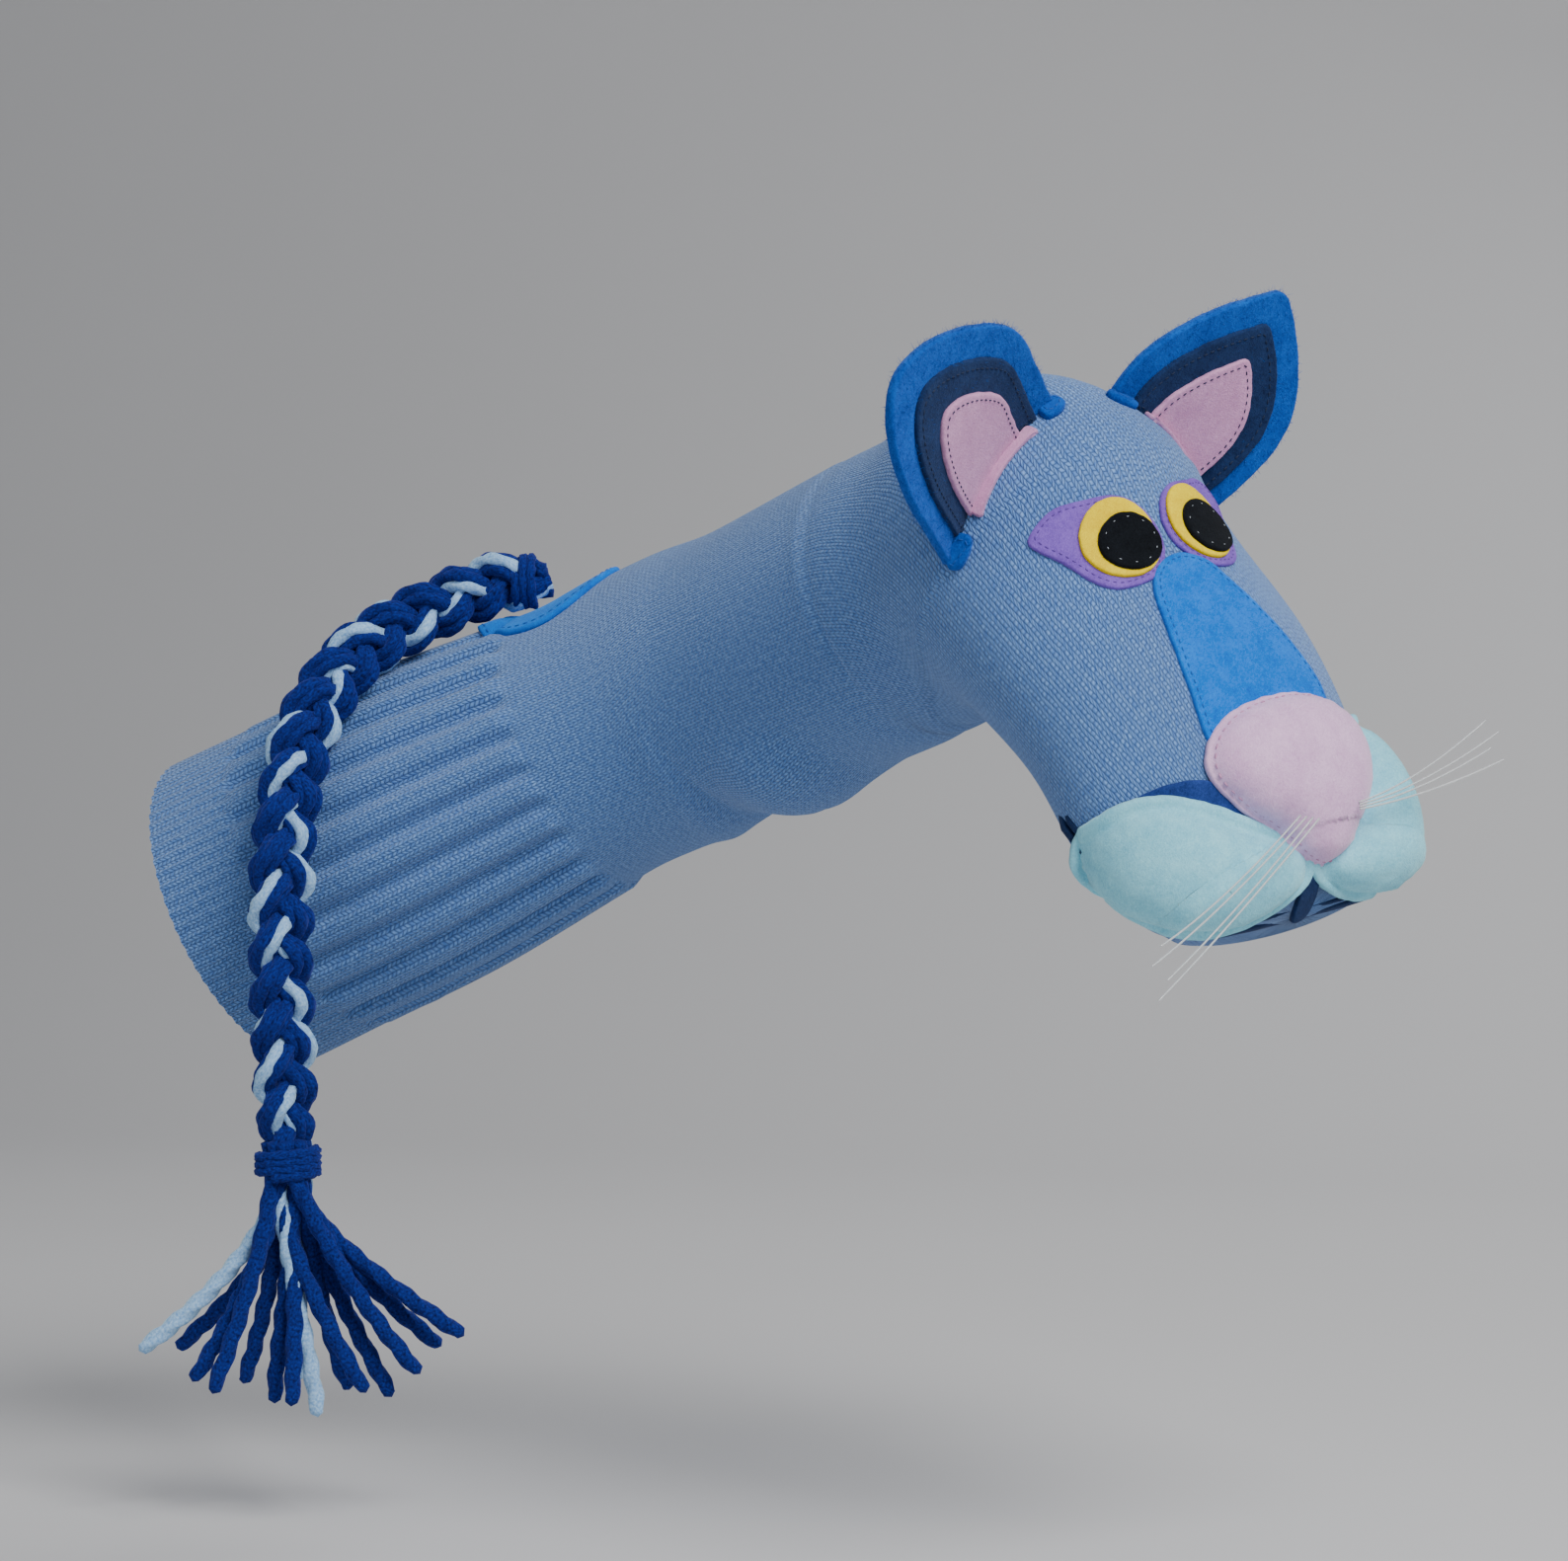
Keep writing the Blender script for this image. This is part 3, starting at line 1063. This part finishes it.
# the far pad is sewn on a little higher than the near one
FAR_PAD_LINE = [(-28.5, 4.0), (-22.0, 9.0), (-15.0, 13.0), (-7.0, 17.5), (1.0, 22.0), (9.0, 25.5),
                (18.0, 26.5), (26.0, 23.0), (30.5, 14.5),
                (31.0, 6.0), (28.5, -2.0), (21.0, -8.5), (10.9, -12.3), (0.6, -12.7), (-9.9, -11.1),
                (-20.1, -7.2), (-28.5, -1.5)]
for side, sgn in SIDES.items():
    way = LATERAL * 0.55 * sgn + FACE * 0.45 + SNOUT * 0.70
    way /= np.linalg.norm(way)
    across = LATERAL - way * (LATERAL @ way)
    across /= np.linalg.norm(across)
    pad_drop = drop(head_point(106.5, sgn * 26, 4.5), across, np.cross(way, across), way, 0.6, 9.0)
    pad_line = round_line(PAD_LINE if side == "left" else FAR_PAD_LINE, 170)
    pad, _ = felt_piece("muzzle_cushion_" + side, FELT["aqua"], pad_line, pad_drop, 0.9, 1.5,
                        stuffed(3.1, 8.0 if side == "left" else 10.5, 2.2, 0.75), 0.7, 18, (0, 3), 0.18)
    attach(pad, "head")
    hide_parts("muzzle_pad_" + side, "muzzle_stuffing_" + side)
    stitches("muzzle_stitches_" + side, "head", on_top(inset_line(pad_line, 3.1), pad_drop, 1.85), "teal",
             2.3, (0.75, 0.26, 0.22))
print("pads made")

# %% [markdown]
# ## Dark seam felts of the muzzle and the tail patch
# A dark strip shows between the two pads, and a dark fold of knit above each pad. The tail is sewn to an
# oval of
# bright felt on top of the leg, which spreads its pull over more stitches.

# %% Muzzle strip, folds and tail patch
def plain_sheet(made, body, replaces=()):
    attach(made, body)
    if replaces:
        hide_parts(*replaces)


INDIGO = felt_finish("felt_indigo", linear(46, 70, 142), linear(20, 34, 82), 0.3)
strip_drop = drop(head_point(112, 0, 12), nose_across, np.cross(nose_way, nose_across), nose_way, 0.4, 30.0)
strip_line = round_line([(-3.4, 4), (0, 6), (3.4, 4), (3.2, -6), (2.8, -14), (0, -16), (-2.8, -14),
                         (-3.2, -6)], 60)
strip, _ = felt_piece("muzzle_strip", FELT["navy"], strip_line, strip_drop, 0.1, 1.2, steps=8, edge_round=0.4)
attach(strip, "head")
for side, sgn in SIDES.items():
    way = LATERAL * 0.55 * sgn + FACE * 0.45 + SNOUT * 0.70
    way /= np.linalg.norm(way)
    across = LATERAL - way * (LATERAL @ way)
    across /= np.linalg.norm(across)
    fold_drop = drop(head_point(106.5, sgn * 26, 4.5), across, np.cross(way, across), way, 0.4, 9.0)
    fold = [(-17, 17), (-10, 21), (-1, 22.6), (8, 20.5), (18, 16.5), (20, 12.5), (8, 15), (-1, 17),
            (-10, 17.5)]
    fold_line = round_line([(-sgn * x, y) for x, y in fold][::-sgn], 80)
    fold_felt, _ = felt_piece("muzzle_fold_" + side, INDIGO, fold_line, fold_drop, 0.1, 0.9, steps=6,
                              edge_round=0.4, centre=(-sgn * 2, 18.6))
    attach(fold_felt, "head")
patch_drop = drop(ARM * 123.5, ARM, -NEAR, ARM_UP, 0.2)
patch_line = circle_line(0, -4.5, 22, 17, 96)
patch, area = felt_piece("tail_patch_felt", FELT["bright"], patch_line, patch_drop, 0.1, 1.5, edge_round=0.6)
plain_sheet(patch, "leg", ("tail_patch",))
stitches("tail_patch_stitches", "leg", on_top(inset_line(patch_line, 1.5), patch_drop, 1.65), "blue", 2.8,
         (0.8, 0.26, 0.2))
print("patch area cm2", round(area * 1e4, 2))

# %% [markdown]
# ## Ears
# An ear is three leaves of felt, sewn together through their edges and cupped where they meet the head. The
# leaf
# is drawn flat, then bent: its two sides come forward and its tip leans back. The foot of every leaf is
# found by
# a ray down the leaf to the knit, so it stands in its seam all along.

# %% Ear leaves
EAR_LINE = ((11.4, 40.0, -13.0), (23.5, 53.2, -15.2), (40.0, 63.5, -15.0), (56.8, 68.7, -12.7),
            (70.0, 58.0, -10.0), (74.3, 44.7, -6.6), (67.2, 29.9, 2.5), (49.5, 16.5, 9.4))
EAR_LAYERS = (("outer", "royal", 1.0, 1.0, 0.0, 0.0, 1.9), ("middle", "navy", 0.76, 0.82, 0.8, 1.9, 1.2),
              ("inner", "ear_pink", 0.50, 0.62, 1.6, 3.1, 1.1))
# the two leaves as cut, across and up from the middle of the foot; both point the same way, so they are no
# pair
EAR_CUT = {"left": ((-25, 0), (-22.8, 16), (-20.0, 31), (-10, 42.5), (2, 51.0), (13, 56.0), (22, 56.6),
                    (28.5, 51), (32.0, 41), (32.4, 27), (30, 13), (25, 0)),
           "right": ((-25, 0), (-27.3, 7), (-25.8, 17), (-21.4, 27), (-14.6, 37.5), (-7.0, 47.0),
                     (-4.2, 49.3), (0.5, 48.3), (12.6, 42.0), (22.8, 31.7),
                     (26.9, 18), (25, 0))}


def cup(x, y):
    return 7.0 * (x / 38) ** 2 * (1 - 0.4 * y / 65) - 4.0 - 5.0 * (y / 65) ** 2


for side, sgn in SIDES.items():
    world_line = [head_point(d, sgn * y, n) for y, n, d in EAR_LINE]
    a, b, tip_at = world_line[0], world_line[-1], world_line[3]
    along = (b - a) / np.linalg.norm(b - a)
    front = np.cross(along, tip_at - a)
    front /= np.linalg.norm(front)
    front = front if front @ SNOUT > 0 else -front
    rise = np.cross(front, along)
    rise = rise if rise @ (tip_at - a) > 0 else -rise
    root = (a + b) / 2

    def leaf(flat, root=root, along=along, front=front, rise=rise):
        x, y = flat[:, 0], flat[:, 1]
        at = root + along * x[:, None] + rise * y[:, None] + front * cup(x, y)[:, None]
        dx = (cup(x + 0.1, y) - cup(x - 0.1, y)) / 0.2
        dy = (cup(x, y + 0.1) - cup(x, y - 0.1)) / 0.2
        way = front - along * dx[:, None] - rise * dy[:, None]
        return at, way / np.linalg.norm(way, axis=1, keepdims=True)

    def foot(x, lift, root=root, along=along, front=front, rise=rise):
        y = 0.0
        for _ in range(3):
            start = root + along * x + front * (cup(x, y) + lift) + rise * 34
            hit = SKIN_TREE.ray_cast(Vector(start), Vector(-rise), 60)
            y = 34 - hit[3] if hit[0] is not None else y
        return y

    flat = np.array(EAR_CUT[side], float)
    for layer, finish, wide, tall, aside, low, thick in EAR_LAYERS:
        pts = flat * (wide, tall) + (aside, 0)
        x0, x1 = pts[0][0], pts[-1][0]
        pts[0][1], pts[-1][1] = foot(x0, low) - 0.6, foot(x1, low) - 0.6
        crest = round_line(pts, 76, closed=False)
        base = [(x, foot(x, low) - 1.0) for x in np.linspace(x1, x0, 30)[1:-1]]
        outline = np.concatenate([crest, base])
        made, area = felt_piece(f"ear_{layer}_felt_{side}", FELT[finish], outline, leaf, low, thick,
                                edge_round=0.6,
                                centre=(float(np.mean(crest[:, 0])), float(crest[:, 1].max() * 0.45)),
                                jitter=0.25)
        plain_sheet(made, f"ear_{side}", (f"ear_{layer}_{side}",))
        inner_line = inset_line(outline, 1.7)
        if layer == "outer":
            fuzz(made, f"ear_fuzz_{side}", f"ear_{side}", FELT["royal"], 1.3, 5 + sgn, 1.5, 0.055)
        elif layer == "middle":
            stitches(f"ear_middle_stitches_{side}", f"ear_{side}",
                     on_top(inset_line(outline, 2.4), leaf, low + thick + 0.05), "navy", 2.1,
                     (0.7, 0.24, 0.2))
        else:
            stitches(f"ear_inner_stitches_{side}", f"ear_{side}",
                     on_top(inner_line, leaf, low + thick + 0.05), "navy", 2.1, (0.6, 0.22, 0.18))
    # the turned-in strip sewn to the head along the foot of the inner leaf, and the folded corners
    foot_at = root + front * (cup(0, 0) + 3.4) + rise * foot(0.0, 3.4)
    hit = SKIN_TREE.find_nearest(Vector(foot_at))
    out = np.array(hit[1])
    out = out if out @ rise > 0 else -out
    ahead_way = np.cross(out, along)
    ahead_way = ahead_way if ahead_way @ front > 0 else -ahead_way
    ahead_way /= np.linalg.norm(ahead_way)
    strip_at = drop(foot_at, along, ahead_way, out, 0.2, 40.0)
    x0, x1 = flat[0][0] * 0.50, flat[-1][0] * 0.50
    top_edge = [(x, cup(x, 0) - cup(0, 0) + 0.2) for x in np.linspace(x0 - 1, x1 + 1, 14)]
    low_edge = [(x, y + 3.0) for x, y in top_edge[::-1]]
    strip_line = round_line(top_edge + low_edge, 90)
    made, _ = felt_piece(f"ear_seam_strip_{side}", FELT["ear_pink"], strip_line, strip_at, 0.1, 1.1, steps=5,
                         edge_round=0.45,
                         centre=(0.0, 1.9))
    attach(made, "head")
    for end, x in (("inner", flat[0][0]), ("outer", flat[-1][0])):
        y = cup(x, 0) - cup(0, 0) - 2.0
        inward = 1 if x < 0 else -1
        fold_line = round_line([(x - inward * 1.2, y - 1.0), (x - inward * 0.6, y + 1.8),
                                (x + inward * 2.6, y + 3.2), (x + inward * 6.4, y + 2.4),
                                (x + inward * 5.6, y - 0.9), (x + inward * 1.5, y - 2.4)], 50)
        made, _ = felt_piece(f"ear_corner_{end}_{side}", FELT["royal"], fold_line, strip_at, 0.1, 1.9,
                             steps=6, edge_round=0.9)
        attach(made, "head")
        stitches(f"ear_corner_thread_{end}_{side}", "head",
                 on_top(inset_line(fold_line, 1.3), strip_at, 2.02), "blue", 2.4, (0.8, 0.24, 0.2))
    print("ear", side, "foot heights", round(foot(flat[0][0], 0), 1), round(foot(0, 0), 1),
          round(foot(flat[-1][0], 0), 1))

# %% [markdown]
# ## Tail
# The tail is a three-strand plait of thick yarn. It leaves the patch, falls over the near side of the leg and
# hangs. Its route is one smooth NURBS line through the same points as the CAD tube, and every yarn follows
# points
# read from that line: a plait is two waves, one sideways and one in depth at twice the pace.

# %% Tail line
TAIL_ROUTE = [(0.09213, 0, 0.09794), (0.06313, -0.00946, 0.08686), (0.04522, -0.03223, 0.07053),
              (0.04034, -0.0522, 0.04461),
              (0.0405, -0.0605, 0.008), (0.0415, -0.0605, -0.027), (0.043, -0.0605, -0.062)]
tail_curve = bpy.data.curves.new("tail_line", "CURVE")
tail_curve.dimensions = "3D"
tail_curve.resolution_u = 24
tail_spline = tail_curve.splines.new("NURBS")
tail_spline.points.add(len(TAIL_ROUTE) - 1)
for item, p in zip(tail_spline.points, TAIL_ROUTE):
    item.co = (*p, 1)
tail_spline.order_u = 3
tail_spline.use_endpoint_u = True
tail_object = bpy.data.objects.new("tail_line", tail_curve)
bpy.context.collection.objects.link(tail_object)
bpy.context.view_layer.update()
tail_mesh = bpy.data.meshes.new_from_object(tail_object.evaluated_get(bpy.context.evaluated_depsgraph_get()))
tail_points = np.array([v.co[:] for v in tail_mesh.vertices]) / MM
bpy.data.objects.remove(tail_object)
tail_s = np.concatenate([[0], np.cumsum(np.linalg.norm(np.diff(tail_points, axis=0), axis=1))])
TAIL_LEN = float(tail_s[-1])
print("tail length mm", round(TAIL_LEN, 1))


def carried(points, first_side):
    # side and depth directions carried along a line without twist
    way = np.gradient(points, axis=0)
    way /= np.linalg.norm(way, axis=1, keepdims=True)
    sides = [first_side - way[0] * (first_side @ way[0])]
    for w in way[1:]:
        s = sides[-1] - w * (sides[-1] @ w)
        sides.append(s / np.linalg.norm(s))
    sides[0] = sides[0] / np.linalg.norm(sides[0])
    sides = np.array(sides)
    return way, sides, np.cross(way, sides)


def yarn_tube(line, radius, twist=7.5, around=12, lobes=3, deep=0.16, fray=True):
    # verts, faces and UV rows of one plied yarn; its ends are closed
    way, side, deepw = carried(line, np.array([0.31, 0.52, 0.79]))
    s = np.concatenate([[0], np.cumsum(np.linalg.norm(np.diff(line, axis=0), axis=1))])
    theta = np.arange(around) / around * math.tau
    ply = 1 + deep * np.cos(lobes * theta[None, :] - math.tau * s[:, None] / twist)
    thin = np.ones(len(s))
    if fray:
        thin = np.clip(1.0 - 0.25 * np.clip((s - s[-1] + 6) / 6, 0, 1) ** 2, 0, 1)
    r = radius * ply * thin[:, None]
    body = line[:, None, :] + r[:, :,
                                None] * (np.cos(theta)[None, :, None] * side[:, None, :]
                                         + np.sin(theta)[None, :, None] * deepw[:, None, :])
    count = len(line)
    verts = np.concatenate([body.reshape(-1, 3), line[:1] - way[:1] * 0.4 * radius,
                            line[-1:] + way[-1:] * 0.5 * radius])
    faces, uvs = [], []
    v = s / 3.0
    for k in range(count - 1):
        for i in range(around):
            j = (i + 1) % around
            faces.append((k * around + i, k * around + j, (k + 1) * around + j, (k + 1) * around + i))
            uvs.append(((i / around, v[k]), ((i + 1) / around, v[k]), ((i + 1) / around, v[k + 1]),
                        (i / around, v[k + 1])))
    first, last = count * around, count * around + 1
    for i in range(around):
        j = (i + 1) % around
        faces.append((j, i, first))
        uvs.append(((0.1, 0), (0.2, 0), (0.15, 0.1)))
        faces.append(((count - 1) * around + i, (count - 1) * around + j, last))
        uvs.append(((0.1, 0), (0.2, 0), (0.15, 0.1)))
    return verts, faces, uvs


def yarn_object(name, tubes, finish):
    verts, faces, uvs, start = [], [], [], 0
    for v, f, uv in tubes:
        verts.append(v)
        faces += [tuple(start + i for i in face) for face in f]
        uvs += uv
        start += len(v)
    made = make_object(name, np.concatenate(verts), faces, finish)
    layer = made.data.uv_layers.new(name="strand")
    layer.data.foreach_set("uv", [c for face in uvs for pair in face for c in pair])
    print(name, "yarns", len(tubes), "faces", len(faces))
    return made


# %% Plait
fine_s = np.arange(0, TAIL_LEN, 0.9)
line = np.stack([np.interp(fine_s, tail_s, tail_points[:, i]) for i in range(3)], 1)
line = line - ARM_UP * (4.5 * np.exp(-((fine_s / 8) ** 2)))[:, None]
way, side_dir, depth_dir = carried(line, RIGHT)
PLAIT = 34.0
squeeze = 1 - 0.5 * np.exp(-(fine_s / 6) ** 2) - 0.38 * np.exp(-((TAIL_LEN - fine_s) / 7) ** 2)
blue_tubes, light_tubes = [], []
for strand in range(3):
    phase = math.tau * fine_s / PLAIT + math.tau * strand / 3
    sway = 5.1 * np.sin(phase) * squeeze
    dive = 2.7 * np.sin(2 * phase) * squeeze
    middle = line + side_dir * sway[:, None] + depth_dir * dive[:, None]
    for yarn in range(5):
        turn = math.tau * yarn / 5 + 1.9 * strand + fine_s / 26.0
        off = 2.25 * squeeze
        yarn_line = middle + side_dir * (off * np.cos(turn))[:,
                                                             None] * 1.1 + depth_dir * (off * np.sin(turn))[:,
                                                                     None] * 0.9
        (light_tubes if yarn == 0 else blue_tubes).append(yarn_tube(yarn_line, 1.78, 7.5 + 0.4 * yarn, 9,
                                                                    fray=False))
plait = yarn_object("tail_plait_blue", blue_tubes, YARN_BLUE)
plait_light = yarn_object("tail_plait_light", light_tubes, YARN_LIGHT)
# two turns of yarn catch the top of the plait down on the patch
theta = np.linspace(0, math.tau * 2.3, 100)
root_wrap = line[4] + side_dir[4] * (6.6 * np.cos(theta))[:, None] + depth_dir[4] * (5.6 * np.sin(theta))[:,
        None] + way[4] * (2.2 * theta / math.tau)[:, None]
root_tie = yarn_object("tail_root_wrap", [yarn_tube(root_wrap, 1.3, 5.0, 9, fray=False)], YARN_BLUE)
for made in (plait, plait_light, root_tie):
    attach(made, "tail")

# %% [markdown]
# ## Tie and tassel
# The plait ends in a tight wrap of the same yarn, and below it the cut ends fan out. Each end leaves the tie
# straight down, then leans out in its own curve, because thick yarn is springy.

# %% Tie and tassel
KNOT = tail_points[-1]
down = way[-1]
theta = np.linspace(0, math.tau * 3.4, 150)
wrap = KNOT + side_dir[-1] * (8.0 * np.cos(theta))[:, None] + depth_dir[-1] * (6.6 * np.sin(theta))[:,
        None] + down * (0.6 + 1.9 * theta / math.tau)[:, None]
tie = yarn_object("tail_tie_wrap", [yarn_tube(wrap, 1.35, 5.0, 9, fray=False)], YARN_BLUE)
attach(tie, "tail")
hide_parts("tail_tie")
ENDS = ((-38.9, -53.6, 2, 1), (-24.2, -61.0, 6, 0), (-12.2, -63.0, -4, 0), (-2.9, -67.0, 4, 0),
        (9.1, -70.0, 8, 1), (27.7, -66.0, 0, 0),
        (35.7, -59.0, 6, 0), (47.0, -49.6, 2, 0), (-31.0, -55.0, -12, 0), (-18.0, -63.0, 13, 0),
        (3.0, -66.0, 15, 0), (15.0, -66.0, -12, 0),
        (22.0, -63.0, 12, 0), (1.0, -64.0, -16, 1), (40.0, -54.0, -9, 0))
TOWARDS_VIEW = np.array(TOWARDS)
tassel = {0: [], 1: []}
for i, (right, drop_by, near_by, light) in enumerate(ENDS):
    turn = i * 2.4
    spread = 1.3 + 4.4 * math.sqrt(i / len(ENDS))
    top = (KNOT + side_dir[-1] * spread * math.cos(turn)
           + depth_dir[-1] * spread * 0.8 * math.sin(turn) - down * 2)
    end = KNOT + np.array(RIGHT) * right + TOWARDS_VIEW * near_by + np.array([0, 0, drop_by])
    below = top + down * (20 + 3 * math.sin(i * 1.7)) + (end - KNOT) * 0.06
    late = (end - (end - below) * 0.35
            + np.array([0, 0, -1.0]) * (4.5 * math.sin(i * 2.3))
            + np.array(RIGHT) * 2.2 * math.cos(i * 3.1))
    t = np.linspace(0, 1, 84)[:, None]
    path = (1 - t) ** 3 * top + 3 * t * (1 - t) ** 2 * below + 3 * t * t * (1 - t) * late + t ** 3 * end
    tassel[light].append(yarn_tube(path, 2.15, 7.5 + 0.2 * i, 12))
tassel_blue = yarn_object("tassel_ends_blue", tassel[0], YARN_BLUE)
tassel_light = yarn_object("tassel_ends_light", tassel[1], YARN_LIGHT)
for made, name in ((tassel_blue, "tassel_blue"), (tassel_light, "tassel_light")):
    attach(made, "tail")
    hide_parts(name)
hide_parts("tail_braid")

# %% [markdown]
# ## Whiskers
# Clear nylon thread, stiff enough to stand straight out with a slight spring. Each side is a small bunch that
# leaves the seam between nose and pad.

# %% Whiskers
WAY = {"left": (-61.0, -13.0, 23.0), "right": (52.0, 6.0, -7.0)}
SPREAD = {"left": 3.4, "right": 3.0}
for side, sgn in SIDES.items():
    rods = []
    for i in range(4):
        step = (i - 1.5) * SPREAD[side]
        start = np.array([sgn * (7.5 + 1.1 * i), 30.6 - 0.5 * i, 113.6 - 0.9 * i])
        end = np.array([sgn * 9, 30, 113]) + np.array(WAY[side]) + np.array([sgn * (2 - i % 2 * 4),
                                                                             0.6 * step, -step])
        t = np.linspace(0, 1, 40)[:, None]
        sag = np.array([0.0, -1.0, 0.4]) * (1.6 + 0.5 * i)
        bent = start * (1 - t) + end * t + sag * (4 * t * (1 - t))
        rods.append(yarn_tube(np.array([head_point(d, y, n) for y, n, d in bent]), 0.24, 50.0, 8, 3, 0.0))
    made = yarn_object("whisker_bunch_" + side, rods, NYLON)
    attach(made, "head")
    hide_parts("whiskers_" + side)

# %% [markdown]
# ## Mouth
# Each jaw is closed by a felt lining on stiff card. The linings lie in the plane of the mouth and reach just
# past
# the knit all round, so a thin dark lip shows.

# %% Mouth linings
mouth_rows = [k for k in range(mouth_row, len(centres))]
near_side = np.array([[(skin[k, 72] - MOUTH) @ LATERAL, (skin[k, 72] - MOUTH) @ PALATE] for k in mouth_rows])
far_side = np.array([[(skin[k, 216] - MOUTH) @ LATERAL, (skin[k, 216] - MOUTH) @ PALATE] for k in mouth_rows])
rim = np.concatenate([near_side, far_side[::-1]])
rim = rim[rim[:, 1] > 0.9]
back_edge = [(x, rim[0][1]) for x in np.linspace(rim[-1][0], rim[0][0], 16)[1:-1]]
rim = round_line(np.concatenate([rim[::3], rim[-1:], back_edge]), 170)
lip = inset_line(rim, -1.1)
lip[:, 1] = np.maximum(lip[:, 1], 1.0)
lip[:, 0] *= 0.80 + 0.20 * np.clip((lip[:, 1] - 1.0) / 18, 0, 1)
for name, sign, body in (("upper", 1, "head"), ("lower", -1, "jaw")):
    def palate(flat, sign=sign):
        at = MOUTH + LATERAL * flat[:, :1] + PALATE * flat[:, 1:]
        return at, np.broadcast_to(-PALATE_UP * sign, at.shape)
    made, area = felt_piece(f"mouth_felt_{name}", FELT["navy"], lip, palate, -1.9, 1.5, edge_round=0.6)
    plain_sheet(made, body, (f"mouth_lining_{name}",))
for card in ("mouth_card_upper", "mouth_card_lower"):
    bpy.data.objects[card].data.materials.clear()
    bpy.data.objects[card].data.materials.append(CARD)
print("mouth felts made")

# %% [markdown]
# ## Floor and backdrop
# One pale sheet runs from the floor up the back, in a wide curve with no corner. The puppet hangs in the
# air, as
# it does on a raised arm, and the floor is just under the tassel.

# %% Floor and backdrop
lowest = min(v[2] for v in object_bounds())
profile = [(-1.6, 0.0), (0.9, 0.0)]
for i in range(1, 17):
    t = i / 16 * math.pi / 2
    profile.append((0.9 + 0.7 * math.sin(t), 0.7 * (1 - math.cos(t))))
profile.append((1.6, 3.2))
verts, faces = [], []
for y, z in profile:
    for x in (-3.2, 3.4):
        verts.append(np.array([x, y, z + lowest - 0.03]) / MM)
for k in range(len(profile) - 1):
    faces.append((2 * k, 2 * k + 1, 2 * k + 3, 2 * k + 2))
SWEEP = plain_finish("paper_sweep", linear(206, 206, 208), 0.9, 3.0, 0.96, 0.0002, 0.2)
sweep = make_object("paper_sweep", verts, faces, SWEEP)
sweep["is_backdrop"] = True
